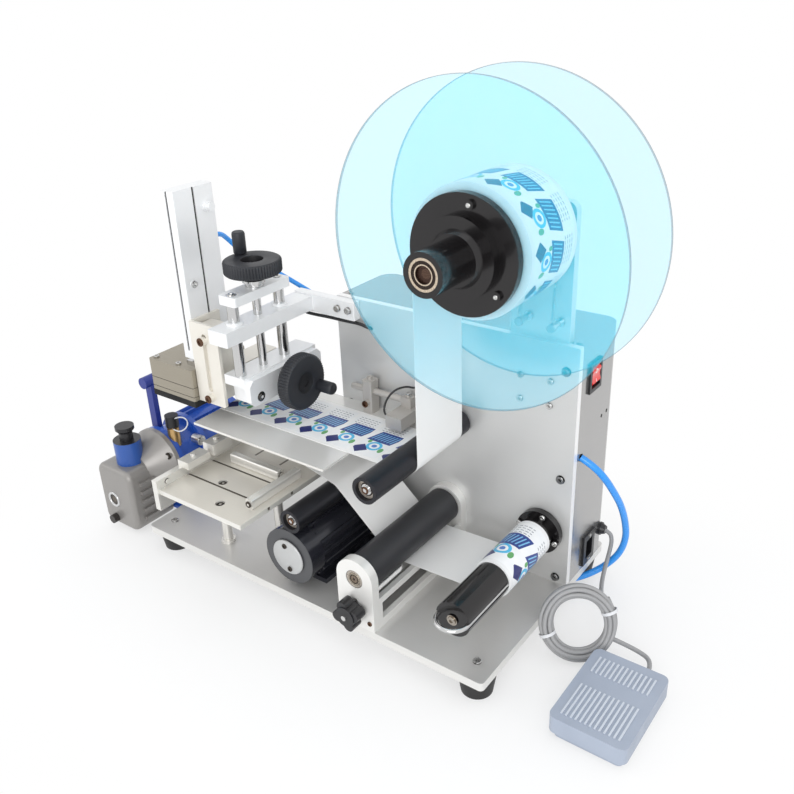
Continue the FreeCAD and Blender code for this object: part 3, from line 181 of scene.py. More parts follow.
# Foot cable. A grey 5 mm cable from the gland on the box to the pedal, with its spare length wound in
# a ring of eight turns that stands on the floor.
cable_grey = moulded("cable_grey", tint(158, 158, 159), 0.42, 2500, 0.08)
first_run = [(252, 127, 66), (265, 127, 66), (270, 125, 57), (271.5, 115.5, 45), (275, 96.5, 36), (281, 75, 32),
             (290, 53, 36), (300, 31, 47), (308, 8, 62)]
lead_in = smooth_line("cable_to_coil", first_run, 0.005, cable_grey)
second_run = [(322, 1, 26), (350, 16, 11), (372, 8, 9), (372, -18, 9)]
lead_out = smooth_line("cable_to_pedal", second_run, 0.005, cable_grey)
axis = Vector((0.50, -0.764, 0.42)).normalized()
level = Vector((0.84, 0.55, 0)).normalized()
rise = axis.cross(level) if axis.cross(level).z > 0 else level.cross(axis)
ring_radius, bundle = 35.0, 9.0
ring_centre = Vector((293, -12, ring_radius * math.sqrt(1 - axis.z ** 2) + bundle))
turns, per_turn = 8, 14
lay_of = [(0.2, 0.1)] + [(5.7 * math.cos(a), 5.7 * math.sin(a)) for a in
                         [math.radians(360 / 7 * n + 20) for n in range(7)]]
coil_points = []
for step in range(turns * per_turn + 1):
    turn, along = divmod(step, per_turn)
    here, after = lay_of[min(turn, turns - 1)], lay_of[min(turn + 1, turns - 1)]
    share = max(0.0, (along / per_turn - 0.6) / 0.4)
    out = here[0] + (after[0] - here[0]) * share + 0.5 * math.sin(step * 1.7)
    over = here[1] + (after[1] - here[1]) * share + 0.5 * math.cos(step * 2.3)
    angle = math.radians(40) + 2 * math.pi * step / per_turn
    spoke = level * math.cos(angle) + rise * math.sin(angle)
    coil_points.append(tuple(ring_centre + spoke * (ring_radius + out) * 1.012 + axis * over))
coil = smooth_line("cable_coil_turns", coil_points, 0.005, cable_grey)
for cord in (lead_in, lead_out, coil):
    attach(cord, "stand")
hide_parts("foot_cable")
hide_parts("foot_cable")
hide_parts("cable_coil")


# Two cable ties. Flat white nylon straps pulled tight round the coil, one at each side.
def mesh_piece(name, build, material, body, edge=35):
    """A mesh made by a function that fills a bmesh; it rides on a body."""
    shape = bmesh.new()
    build(shape)
    bmesh.ops.recalc_face_normals(shape, faces=shape.faces)
    data = bpy.data.meshes.new(name)
    shape.to_mesh(data)
    shape.free()
    data.polygons.foreach_set("use_smooth", [True] * len(data.polygons))
    data.set_sharp_from_angle(angle=math.radians(edge))
    obj = bpy.data.objects.new(name, data)
    bpy.context.scene.collection.objects.link(obj)
    data.materials.append(material)
    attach(obj, body)
    return obj


def strap_round(shape, centre, along, radius, width, thick):
    """A flat band bent round a line."""
    first = along.orthogonal().normalized()
    second = along.cross(first)
    rings = []
    for n in range(24):
        angle = 2 * math.pi * n / 24
        spoke = first * math.cos(angle) + second * math.sin(angle)
        rings.append([shape.verts.new(mm(*(centre + spoke * r + along * w)))
                      for r, w in ((radius, -width / 2), (radius + thick, -width / 2),
                                   (radius + thick, width / 2), (radius, width / 2))])
    for n in range(24):
        a, b = rings[n], rings[(n + 1) % 24]
        for k in range(4):
            shape.faces.new((a[k], a[(k + 1) % 4], b[(k + 1) % 4], b[k]))


def ties(shape):
    for degrees in (200, 20):
        angle = math.radians(degrees)
        spoke = level * math.cos(angle) + rise * math.sin(angle)
        along = rise * math.cos(angle) - level * math.sin(angle)
        strap_round(shape, ring_centre + spoke * ring_radius, along, 8.4, 3.2, 0.6)


tie_white = moulded("tie_white", tint(222, 223, 226), 0.45, 2000, 0.05)
mesh_piece("coil_ties", ties, tie_white, "stand")


# Base plate. Steel, ground and brushed along its length, with a bright edge all round, on four feet of
# black rubber.
def calc(tree, kind, *values):
    """One Math node; a value is a number or another node's socket."""
    node = tree.nodes.new("ShaderNodeMath")
    node.operation = kind
    for socket, value in zip(node.inputs, values):
        if isinstance(value, (int, float)):
            socket.default_value = value
        else:
            tree.links.new(value, socket)
    return node.outputs[0]


def distance_of(tree, first, second):
    """Distance from the origin of a plane with these two coordinates."""
    return calc(tree, "POWER", calc(tree, "ADD", calc(tree, "POWER", first, 2), calc(tree, "POWER", second, 2)), 0.5)


def near(tree, value, centre, reach):
    """1 where value lies within reach of centre, else 0."""
    return calc(tree, "LESS_THAN", calc(tree, "ABSOLUTE", calc(tree, "SUBTRACT", value, centre)), reach)


def place_of(tree):
    """X, Y and Z of the shaded point in millimetres from the middle of the base plate."""
    coords = tree.nodes.new("ShaderNodeTexCoord")
    split = tree.nodes.new("ShaderNodeSeparateXYZ")
    tree.links.new(coords.outputs["Object"], split.inputs["Vector"])
    return [calc(tree, "MULTIPLY_ADD", split.outputs[n], 1000, ORIGIN[n]) for n in range(3)]


def brushed_metal(name, colour, rough, grain, metal=0.9, waves=900, strength=0.12, edge=None, facing=2):
    """Metal with fine lines; grain is the stretch of the lines, edge the colour of its cut sides."""
    material, tree, principled = shader(name, colour, rough, metal)
    lines = noise(tree, waves, grain, 4)
    cloud = noise(tree, 14, (1, 1, 1), 2)
    tree.links.new(spread(tree, lines, rough * 0.8, rough * 1.25), principled.inputs["Roughness"])
    face = blend_colours(tree, cloud, [c * 0.92 for c in colour], colour)
    if edge:
        geometry = tree.nodes.new("ShaderNodeNewGeometry")
        split = tree.nodes.new("ShaderNodeSeparateXYZ")
        tree.links.new(geometry.outputs["Normal"], split.inputs["Vector"])
        flat = calc(tree, "LESS_THAN", calc(tree, "ABSOLUTE", split.outputs[facing]), 0.8)
        face = blend_colours(tree, flat, face, edge)
    tree.links.new(face, principled.inputs["Base Color"])
    bump(tree, principled, lines, strength)
    return material


def dress(material, *names):
    for name in names:
        data = nodes[name].data
        data.materials.clear()
        data.materials.append(material)


dress(brushed_metal("ground_steel", tint(216, 215, 213), 0.38, (0.04, 1, 1), 0.55, 700, 0.02,
                    edge=tint(226, 225, 222)), "base_plate")
dress(moulded("foot_rubber", tint(34, 33, 33), 0.55), "rubber_feet")

# Main panel and control box. Stainless sheet, brushed along the length, with bright cut edges; behind it
# the folded shell and lid of the box, of thinner sheet.
dress(brushed_metal("panel_steel", tint(213, 213, 212), 0.38, (0.05, 1, 1), 0.5, 900, 0.03,
                    edge=tint(240, 240, 240), facing=1), "main_panel")
dress(brushed_metal("shell_steel", tint(174, 173, 172), 0.2, (0.05, 0.05, 1), 0.8, 700, 0.02), "box_shell",
      "box_cover")
mill_metal = brushed_metal("mill_metal", tint(236, 235, 232), 0.38, (1, 1, 0.08), 0.4, 900, 0.03)
dress(mill_metal, "reel_stand", "nip_brackets", "power_supply")

# Screws of the panel, the box and the base plate. Plated steel cap and pan heads with a hexagon socket,
# each with a thin washer, turned in by hand so that no two sockets stand alike.
screw_tree = bpy.data.node_groups.new("socket_screws", "GeometryNodeTree")
screw_inputs = {}
screw_tree.interface.new_socket("Places", in_out="INPUT", socket_type="NodeSocketGeometry")
for label, kind, value in (("Head radius", "NodeSocketFloat", 0.004), ("Head height", "NodeSocketFloat", 0.003),
                           ("Socket radius", "NodeSocketFloat", 0.002), ("Washer radius", "NodeSocketFloat", 0.004),
                           ("Facing", "NodeSocketVector", (0, 0, 0)), ("Finish", "NodeSocketMaterial", None)):
    socket = screw_tree.interface.new_socket(label, in_out="INPUT", socket_type=kind)
    if value is not None:
        socket.default_value = value
    screw_inputs[label] = socket.identifier
screw_tree.interface.new_socket("Screws", in_out="OUTPUT", socket_type="NodeSocketGeometry")


def grow(kind, **settings):
    """A node of the screws' tree, with its plain inputs set or linked."""
    node = screw_tree.nodes.new(kind)
    for label, value in settings.items():
        socket = node.inputs[label.replace("_", " ")]
        if hasattr(value, "is_linked"):
            screw_tree.links.new(value, socket)
        else:
            socket.default_value = value
    return node


def times(value, factor):
    node = screw_tree.nodes.new("ShaderNodeMath")
    node.operation = "MULTIPLY"
    screw_tree.links.new(value, node.inputs[0])
    node.inputs[1].default_value = factor
    return node.outputs[0]


def raised(mesh, height):
    lift = grow("ShaderNodeCombineXYZ", Z=height)
    return grow("GeometryNodeTransform", Geometry=mesh, Translation=lift.outputs[0]).outputs[0]


given = screw_tree.nodes.new("NodeGroupInput")
radius, height = given.outputs["Head radius"], given.outputs["Head height"]
barrel = grow("GeometryNodeMeshCylinder", Vertices=20, Radius=radius, Depth=times(height, 0.8))
crown = grow("GeometryNodeMeshCone", Vertices=20, Radius_Top=times(radius, 0.84), Radius_Bottom=radius,
             Depth=times(height, 0.2))
hexagon = grow("GeometryNodeMeshCylinder", Vertices=6, Radius=given.outputs["Socket radius"],
               Depth=times(height, 1.4))
head = screw_tree.nodes.new("GeometryNodeMeshBoolean")
head.operation = "UNION"
for mesh in (raised(barrel.outputs["Mesh"], times(height, 0.4)),
             raised(crown.outputs["Mesh"], times(height, 0.799))):
    screw_tree.links.new(mesh, head.inputs["Mesh"] if "Mesh" in head.inputs else head.inputs[1])
socketed = screw_tree.nodes.new("GeometryNodeMeshBoolean")
socketed.operation = "DIFFERENCE"
screw_tree.links.new(head.outputs["Mesh"], socketed.inputs[0])
screw_tree.links.new(raised(hexagon.outputs["Mesh"], times(height, 1.05)), socketed.inputs[1])
washer = grow("GeometryNodeMeshCylinder", Vertices=24, Radius=given.outputs["Washer radius"],
              Depth=times(height, 0.14))
whole = screw_tree.nodes.new("GeometryNodeJoinGeometry")
screw_tree.links.new(socketed.outputs["Mesh"], whole.inputs[0])
screw_tree.links.new(raised(washer.outputs["Mesh"], times(height, 0.07)), whole.inputs[0])
copies = grow("GeometryNodeInstanceOnPoints", Points=given.outputs["Places"], Instance=whole.outputs[0],
              Rotation=given.outputs["Facing"])
chance = screw_tree.nodes.new("FunctionNodeRandomValue")
chance.data_type = "FLOAT"
floats = [socket for socket in chance.inputs if socket.type == "VALUE"]
floats[0].default_value, floats[1].default_value = 0, 1.047
chance.inputs["Seed"].default_value = 7
spin = grow("ShaderNodeCombineXYZ", Z=next(s for s in chance.outputs if s.type == "VALUE"))
turned_in = grow("GeometryNodeRotateInstances", Instances=copies.outputs[0], Rotation=spin.outputs[0])
turned_in.inputs["Local Space"].default_value = True
real = grow("GeometryNodeRealizeInstances", Geometry=turned_in.outputs[0])
finished = grow("GeometryNodeSetMaterial", Geometry=real.outputs[0], Material=given.outputs["Finish"])
result = screw_tree.nodes.new("NodeGroupOutput")
screw_tree.links.new(finished.outputs[0], result.inputs[0])
FRONT, RIGHT, UP = (math.pi / 2, 0, 0), (0, math.pi / 2, 0), (0, 0, 0)


def screws(name, places, facing, radius, height, finish, body, socket=0.5, washer=1.0):
    """Screw heads that stand on the given points; sizes in millimetres."""
    points = bpy.data.meshes.new(name + "_places")
    points.from_pydata([mm(*p) for p in places], [], [])
    obj = bpy.data.objects.new(name, points)
    bpy.context.scene.collection.objects.link(obj)
    modifier = obj.modifiers.new("screws", "NODES")
    modifier.node_group = screw_tree
    for label, value in (("Head radius", radius / 1000), ("Head height", height / 1000),
                         ("Socket radius", radius * socket / 1000), ("Washer radius", radius * washer / 1000),
                         ("Facing", facing), ("Finish", finish)):
        modifier[screw_inputs[label]] = value
    graph = bpy.context.evaluated_depsgraph_get()
    made = bpy.data.meshes.new_from_object(obj.evaluated_get(graph))
    obj.modifiers.remove(modifier)
    obj.data = made
    made.name = name
    if not made.materials:
        made.materials.append(finish)
    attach(obj, body)
    return obj


bright_steel = brushed_metal("bright_steel", tint(205, 205, 204), 0.2, (1, 1, 1), 1.0, 900, 0.03)
screws("panel_screws", [(238, 42, 43), (238, 42, 173), (238, 42, 301), (-50, 42, 60), (-50, 42, 190)], FRONT,
       4.6, 3, brushed_metal("grey_steel", tint(140, 140, 140), 0.2, (1, 1, 1), 1.0, 900, 0.05), "stand",
       0.52, 1.15)
screws("stand_screws", [(186, 42, 286), (221, 42, 286), (186, 42, 258), (221, 42, 258)], FRONT, 3.6, 2.4,
       bright_steel, "stand", 0.52, 1.0)
screws("cover_screws", [(243, 59, 328), (-54, 59, 328)], UP, 3.4, 1.6, bright_steel, "stand")
screws("base_screws", [(x, y, 35) for x in (-231, 231) for y in (-117, 118)], UP, 4.6, 2.2, bright_steel,
       "stand")
screws("inlet_screws", [(255, 93, 43.6), (255, 93, 76.4)], RIGHT, 2.4, 1.2, bright_steel, "stand")
screws("arm_screws", [(-52, 30, 318), (-36, 30, 318)], FRONT, 4.4, 4, bright_steel, "stand")

# Switch, inlet and gland on the box's right end. Black glass-filled nylon snapped into the sheet, and a red
# rocker with a white ring and a white bar pressed into it.
black_plastic = moulded("black_plastic", tint(30, 30, 33), 0.36, 2200, 0.08)
dress(black_plastic, "power_fittings", "cable_gland")
switch_red, tree, principled = shader("switch_red", tint(228, 28, 24), 0.22, 0.0, Coat_Weight=0.5)
x, y, z = place_of(tree)
across = calc(tree, "SUBTRACT", y, 80)
ring_up = calc(tree, "SUBTRACT", z, 291.5)
distance = distance_of(tree, across, ring_up)
ring = near(tree, distance, 2.1, 0.5)
bar_high = near(tree, z, 280.3, 2.3)
bar = calc(tree, "MULTIPLY", bar_high, calc(tree, "LESS_THAN", calc(tree, "ABSOLUTE", across), 0.5))
marks = calc(tree, "MAXIMUM", ring, bar)
cloud = blend_colours(tree, noise(tree, 60), tint(208, 22, 20), tint(236, 34, 28))
tree.links.new(blend_colours(tree, marks, cloud, tint(240, 225, 222)), principled.inputs["Base Color"])
dress(switch_red, "rocker")

# Reel hub, nose and bearing. Turned aluminium, hard-anodised black and polished, in steps that grow
# towards the roll; a ball bearing with a dark shield sits in the nose, held by three small screws.
gloss_black, tree, principled = shader("gloss_black", tint(30, 27, 28), 0.16, 0.35, Coat_Weight=0.35)
rings = noise(tree, 1400, (0.05, 1, 0.05), 3)
tree.links.new(spread(tree, noise(tree, 30), 0.13, 0.24), principled.inputs["Roughness"])
tree.links.new(blend_colours(tree, noise(tree, 18), tint(16, 15, 17), tint(28, 25, 26)),
               principled.inputs["Base Color"])
bump(tree, principled, rings, 0.05)
dress(gloss_black, "reel_hub", "hub_nose", "rewind_mandrel")


def turned(shape, centre, axis, outline, steps=48):
    """A turned solid; the outline holds (radius, distance along the axis) and runs from axis to axis."""
    axis = Vector(axis).normalized()
    first = axis.orthogonal().normalized()
    second = axis.cross(first)
    layer = shape.loops.layers.uv.verify()
    widest = max(radius for radius, along in outline)
    rings = []
    for radius, along in outline:
        base = Vector(centre) + axis * along
        if radius < 1e-6:
            rings.append([shape.verts.new(mm(*base))] * steps)
            continue
        rings.append([shape.verts.new(mm(*(base + (first * math.cos(2 * math.pi * n / steps)
                                                   + second * math.sin(2 * math.pi * n / steps)) * radius)))
                      for n in range(steps)])
    for k in range(len(outline) - 1):
        for n in range(steps):
            corners = ((rings[k][n], k), (rings[k][(n + 1) % steps], k),
                       (rings[k + 1][(n + 1) % steps], k + 1), (rings[k + 1][n], k + 1))
            kept = {vertex: row for vertex, row in corners}
            if len(kept) < 3:
                continue
            face = shape.faces.new(list(kept))
            for loop in face.loops:
                loop[layer].uv = (outline[kept[loop.vert]][0] / widest, n / steps)


def banded(name, bands, rough, metal):
    """A finish in rings: each band is (share of the radius where it starts, colour)."""
    material, tree, principled = shader(name, bands[0][1], rough, metal)
    where = tree.nodes.new("ShaderNodeUVMap")
    split = tree.nodes.new("ShaderNodeSeparateXYZ")
    ramp = tree.nodes.new("ShaderNodeValToRGB")
    ramp.color_ramp.interpolation = "CONSTANT"
    for n, (start, colour) in enumerate(bands):
        stop = ramp.color_ramp.elements[n] if n < 2 else ramp.color_ramp.elements.new(start)
        stop.position = start
        stop.color = (*colour, 1)
    tree.links.new(where.outputs["UV"], split.inputs["Vector"])
    tree.links.new(split.outputs["X"], ramp.inputs["Fac"])
    tree.links.new(ramp.outputs["Color"], principled.inputs["Base Color"])
    tree.links.new(spread(tree, noise(tree, 700), rough * 0.8, rough * 1.2), principled.inputs["Roughness"])
    return material


race_cream, shield_dark, oil_brown = tint(196, 180, 160), tint(48, 38, 33), tint(62, 42, 33)
nose_bands = banded("nose_bearing_bands", [(0.0, tint(84, 62, 50)), (0.30, oil_brown), (0.545, race_cream),
                                           (0.62, shield_dark), (0.83, race_cream)], 0.28, 0.6)


def nose_bearing(shape):
    turned(shape, (189, -136.6, 447), (0, -1, 0),
           [(0, -4), (2.5, -3.8), (7.4, -2.6), (7.9, -2.6), (8.1, 0.7), (9.4, 0.7), (9.6, 0.2), (12.2, 0.2),
            (12.5, 0.9), (14.8, 0.9), (14.9, -0.4), (8.2, -4.4), (0, -4.4)])


mesh_piece("nose_bearing_face", nose_bearing, nose_bands, "reel")
screws("nose_screws", [(189 + 47 * math.cos(math.radians(a)), -80.6, 447 + 47 * math.sin(math.radians(a)))
                       for a in (80, 200, 320)], FRONT, 2.2, 1.0, bright_steel, "reel", 0.45)

# Bearing faces of the two guide rollers and of the drive shaft, with their retaining screws. Each is a
# hardened ring with a dark dust shield, seated flush in its bore.
roller_bands = banded("roller_bearing_bands", [(0.0, oil_brown), (0.42, tint(120, 108, 98)), (0.52, shield_dark),
                                               (0.7, tint(176, 168, 158)), (0.96, shield_dark)], 0.3, 0.6)


def roller_bearings(shape):
    for x, y, z, outer in ((111, -132, 210, 10.8), (2, -132, 132, 9.8), (94, -141, 97, 10.8)):
        bore = 8.1 if y < -140 else 4.6
        turned(shape, (x, y, z), (0, -1, 0),
               [(bore, 0), (bore, 0.5), (bore + 1.1, 0.5), (bore + 1.3, 0.2), (outer - 2, 0.2),
                (outer - 1.8, 0.6), (outer, 0.6), (outer, 0)])


mesh_piece("roller_bearing_faces", roller_bearings, roller_bands, "stand")
brown_screw = brushed_metal("brown_screw", tint(104, 78, 62), 0.2, (1, 1, 1), 1.0, 900, 0.05)
screws("roller_screws", [(111, -132, 210), (2, -132, 132)], FRONT, 4.4, 4.5, brown_screw, "stand",
       0.6)


def drive_shaft_end(shape):
    turned(shape, (94, -141, 97), (0, -1, 0),
           [(0, 0.2), (1.2, 0.9), (4.6, 0.9), (4.8, 0.3), (5.6, 0.3), (5.8, 1.0), (7.6, 1.0), (7.9, 0.7), (7.9, 0),
            (0, 0)])


mesh_piece("drive_shaft_face", drive_shaft_end, banded("shaft_bands", [
    (0.0, shield_dark), (0.2, tint(120, 106, 92)), (0.58, shield_dark), (0.72, tint(150, 140, 126))], 0.28, 0.7),
    "drive")

# Guide rollers. Thin aluminium tubes, hard-anodised black with a satin turned surface.
dress(brushed_metal("roller_anodised", tint(44, 44, 49), 0.36, (0.05, 1, 0.05), 0.6, 1200, 0.05),
      "upper_guide_roller", "lower_guide_roller")

# Drive roller of black rubber, ground smooth, and below it the nip roller of bright turned steel on its
# fixed axle. A star knob holds the axle in the front bracket's slot.
dress(moulded("drive_rubber", tint(42, 42, 46), 0.46, 3000, 0.06), "drive_roller")
dress(brushed_metal("turned_steel", tint(214, 214, 213), 0.2, (0.05, 1, 0.05), 0.95, 1200, 0.05), "nip_roller",
      "nip_axle", "drive_shaft")
dress(black_plastic, "nip_knob")
screws("bracket_screws", [(112, -142, 45), (76, -142, 45)], FRONT, 2.8, 1.2, brown_screw, "stand")

# Chromed shafts, posts, pins and the wire clip: ground and plated, almost a mirror.
chrome = brushed_metal("chrome", tint(208, 208, 208), 0.12, (1, 1, 0.1), 1.0, 600, 0.03)
dress(chrome, "reel_shaft", "reel_brake", "axles_bearings", "guide_posts", "rewind_clip", "piston_rods",
      "pedal_spring", "lift_screw")

# Rewinder's screws: four in the black flange and one with a ring in the mandrel's end.
screws("rewind_screws", [(218 + 22.8 * math.cos(math.radians(a)), 31.2, 102 + 22.8 * math.sin(math.radians(a)))
                         for a in (75, 165, 255, 345)], FRONT, 3.4, 2, bright_steel, "rewinder",
       0.5)
screws("mandrel_screw", [(218, -143.4, 102)], FRONT, 4.6, 2, brushed_metal(
    "ring_screw", tint(168, 160, 150), 0.2, (1, 1, 1), 1.0, 900, 0.05), "rewinder", 0.5, 1.3)


# Brake springs. Each pin of the reel's brake is held back by a thin coil spring of bright wire, hooked to
# a stud on the reel stand.
def tube_line(shape, points, radius, sides=8):
    """A round wire through points, in millimetres."""
    before = None
    for n, point in enumerate(points):
        here = Vector(point)
        along = (Vector(points[min(n + 1, len(points) - 1)]) - Vector(points[max(n - 1, 0)])).normalized()
        if before is None:
            first = along.orthogonal().normalized()
        else:
            first = (first - along * first.dot(along)).normalized()
        second = along.cross(first)
        ring = [shape.verts.new(mm(*(here + (first * math.cos(2 * math.pi * k / sides)
                                             + second * math.sin(2 * math.pi * k / sides)) * radius)))
                for k in range(sides)]
        if before is None:
            shape.faces.new(ring)
        else:
            for k in range(sides):
                shape.faces.new((before[k], before[(k + 1) % sides], ring[(k + 1) % sides], ring[k]))
        before = ring
    shape.faces.new(before)


def brake_springs(shape):
    for foot, head in (((190, 29, 354), (181, 48, 391)), ((226, 29, 354), (219, 48, 391))):
        foot, head = Vector(foot), Vector(head)
        run = head - foot
        along = run.normalized()
        first = along.orthogonal().normalized()
        second = along.cross(first)
        coil = [foot - along * 3, foot + along * 2]
        for n in range(16 * 12 + 1):
            share = n / (16 * 12)
            angle = 2 * math.pi * share * 16
            coil.append(foot + run * (0.1 + 0.78 * share)
                        + (first * math.cos(angle) + second * math.sin(angle)) * 1.7)
        coil += [head - along * 2.5, head + Vector((0, 1.5, 0))]
        tube_line(shape, coil, 0.42, 6)
        turned(shape, head, (0, -1, 0),
               [(0, 2.2), (1.6, 2.2), (2, 1.8), (2, 0.6), (1.2, 0.4), (1.2, -3), (0, -3)], 16)


mesh_piece("brake_springs", brake_springs, bright_steel, "stand")

# Label head and its arm. Milled aluminium, lightly blasted and anodised clear, with a warm tone and sharp
# bright edges.
dress(brushed_metal("warm_metal", tint(230, 226, 217), 0.38, (0.1, 1, 1), 0.35, 700, 0.02), "cross_carriage",
      "slotted_bracket")
dress(brushed_metal("box_metal", tint(154, 147, 133), 0.38, (0.1, 1, 1), 0.4, 700, 0.02), "suction_box")
dress(brushed_metal("cool_metal", tint(240, 241, 242), 0.38, (0.1, 1, 1), 0.35, 700, 0.02), "head_arm",
      "lift_plates", "air_cylinder")
screws("bracket_cap_screws", [(-153, -97, 298), (-153, -97, 225)], FRONT, 5.2, 1.2, brown_screw, "carriage",
       0.5)
screws("end_plate_screw", [(-85, -76, 238)], RIGHT, 4.4, 2, brushed_metal(
    "dark_screw", tint(120, 118, 116), 0.2, (1, 1, 1), 1.0, 900, 0.05), "lift", 0.5, 1.35)
screws("suction_screws", [(x, y, 256.8) for x in (-246, -206) for y in (-91, -15)], UP, 3.4, 1.6, bright_steel,
       "suction")
screws("column_screw", [(-173.7, -76, 358)], RIGHT, 4.2, 1.6, bright_steel, "carriage", 0.5)
screws("cap_screws", [(-106, y, 360) for y in (-84, -11)], UP, 4.4, 1.2, bright_steel, "lift",
       0.55)


# Sensor slots of the air cylinder, with black strips set in them as painted shade for the slots' depth, and the black
# gaskets between the suction box's plates.
def block_between(shape, low, high, soft=0.0):
    """A bar between two corners in millimetres, its edges broken by soft millimetres."""
    corners = [shape.verts.new(mm(x, y, z)) for x in (low[0], high[0]) for y in (low[1], high[1])
               for z in (low[2], high[2])]
    sides = [shape.faces.new([corners[n] for n in row]) for row in
             ((0, 1, 3, 2), (4, 6, 7, 5), (0, 4, 5, 1), (2, 3, 7, 6), (0, 2, 6, 4), (1, 5, 7, 3))]
    if soft:
        edges = {edge for face in sides for edge in face.edges}
        bmesh.ops.bevel(shape, geom=list(edges), offset=soft / 1000, segments=2, affect="EDGES")


# Black bars in the cylinder's two slots: painted shade, a dark thing where the slots' depth shades.
def slot_shade_bars(shape):
    block_between(shape, (-178, -59.4, 297.5), (-177.2, -56.6, 464.6), 0.2)
    block_between(shape, (-187.4, -86.8, 277.5), (-184.6, -86, 464.6), 0.2)


soft_black = moulded("soft_black", tint(24, 24, 25), 0.6, 2500, 0.1)
mesh_piece("slot_shade_bars", slot_shade_bars, soft_black, "carriage")


def gaskets(shape):
    for z in (220.1, 232.1):
        for low, high in (((-252.6, -97.6), (-177.4, -97)), ((-252.6, -9), (-177.4, -8.4)),
                          ((-252.6, -97), (-252, -9)), ((-178, -97), (-177.4, -9))):
            block_between(shape, (*low, z), (*high, z + 0.6))


mesh_piece("suction_gaskets", gaskets, soft_black, "suction")
dress(moulded("pad_foam", tint(27, 27, 28), 0.85, 1500, 0.8), "foam_pad")


# Handwheels. Black glass-filled nylon with a fine knurl of some sixty ridges round the rim and a satin
# face, and a turning grip on a steel pin.
def wheel_finish(name, centre, plane):
    """Satin nylon, darker in the recessed middle as painted shade; plane names the two axes that the wheel turns in.
    """
    material, tree, principled = shader(name, tint(42, 45, 52), 0.5)
    spots = place_of(tree)
    first = calc(tree, "SUBTRACT", spots[plane[0]], centre[0])
    second = calc(tree, "SUBTRACT", spots[plane[1]], centre[1])
    far = distance_of(tree, first, second)
    # Painted shade: the recessed middle, inside 13 mm of the centre, is given a darker colour.
    recess_shade = calc(tree, "LESS_THAN", far, 13)
    cloud = blend_colours(tree, noise(tree, 30), tint(30, 32, 37), tint(42, 44, 50))
    tree.links.new(blend_colours(tree, recess_shade, cloud, tint(26, 26, 29)), principled.inputs["Base Color"])
    tree.links.new(spread(tree, noise(tree, 40), 0.42, 0.56), principled.inputs["Roughness"])
    bump(tree, principled, noise(tree, 2200), 0.12)
    return material


def knurled_wheel(shape, centre, axis, radius, thick, dish, crank, reach):
    """A rim with 64 ridges, a recessed middle and a crank; crank is its place beside the centre."""
    centre, axis = Vector(centre), Vector(axis)
    first = axis.orthogonal().normalized()
    second = axis.cross(first)
    profile = [(5.2, -7, 0), (11, -7, 0), (13.5, 0, 0), (radius - 2.2, 0, 0), (radius - 0.3, 1.6, 1),
               (radius, 2.4, 1), (radius, thick - 2.4, 1), (radius - 0.6, thick - 1.1, 1), (radius - 2.6, thick, 0),
               (14.2, thick, 0), (13, thick - 0.6, 0), (12, thick - dish, 0), (5.2, thick - dish, 0)]
    rings = []
    for reach_out, along, ridged in profile:
        ring = []
        for n in range(256):
            angle = 2 * math.pi * n / 256
            depth = 1.1 * ridged * (1 if n % 4 == 2 else 0.75 if n % 2 else 0)
            ring.append(shape.verts.new(mm(*(centre + axis * along + (
                first * math.cos(angle) + second * math.sin(angle)) * (reach_out - depth)))))
        rings.append(ring)
    for lower, upper in zip(rings, rings[1:] + rings[:1]):
        for n in range(256):
            m = (n + 1) % 256
            shape.faces.new((lower[n], lower[m], upper[m], upper[n]))
    turned(shape, centre + Vector(crank), axis,
           [(0, thick - 4), (4, thick - 4), (4, thick + 1.2), (7, thick + 1.2), (7.5, thick + 2),
            (7.5, thick + reach - 3), (7, thick + reach - 1), (6, thick + reach), (0, thick + reach)], 32)


wheel_nylon = wheel_finish("lift_wheel_nylon", (-106, -47), (0, 1))
lift_wheel = mesh_piece("lift_wheel", lambda shape: knurled_wheel(
    shape, (-106, -47, 375), (0, 0, 1), 33, 16, 9,
    (25 * math.cos(math.radians(165)), 25 * math.sin(math.radians(165)), 0), 26), wheel_nylon, "lift_drive")
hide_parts("lift_handwheel")
screws("lift_wheel_nut", [(-106, -47, 382.2)], UP, 6.5, 2.4, soft_black, "lift_drive", 0.5)


def cross_wheel_parts(shape):
    knurled_wheel(shape, (-72, -30, 244), (1, 0, 0), 34, 16, 1.2,
                  (0, 25 * math.sin(math.radians(62)), -25 * math.cos(math.radians(62))), 22)
    turned(shape, (-72, -30, 244), (1, 0, 0),
           [(0, -92), (3.6, -92), (4, -91.6), (4, -13), (10, -13), (10, -5.2), (5.3, -5), (5.3, 13.6), (0, 13.6)], 32)


cross_wheel = mesh_piece("cross_wheel", cross_wheel_parts, wheel_finish("cross_wheel_nylon", (-30, 244), (1, 2)),
                         "cross_drive")
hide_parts("cross_handwheel")

# Head hose and wires. The cylinder's blue 6 mm hose leaves its back and runs behind the arm into the
# control box; the black cable of the sensors runs under the arm's leg.
head_hose = smooth_line("head_air_hose", [
    (-186, -29, 402), (-186, -18, 402), (-190, -4, 392), (-186, 14, 370), (-172, 32, 352), (-152, 50, 334),
    (-126, 68, 312), (-96, 80, 292), (-78, 84, 284), (-58, 84, 284)], 0.006, hose_blue)
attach(head_hose, "carriage")
cable_black = moulded("cable_black", tint(30, 30, 32), 0.4, 2500, 0.05)
arm_cable = smooth_line("arm_cable", [(-112, 35, 308), (-112, 35, 301), (-98, 35.5, 300), (-72, 36, 301),
                                      (-48, 36, 301), (-24, 36, 302), (-14, 38, 298), (-12, 43, 296)], 0.004,
                        cable_black)
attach(arm_cable, "stand")

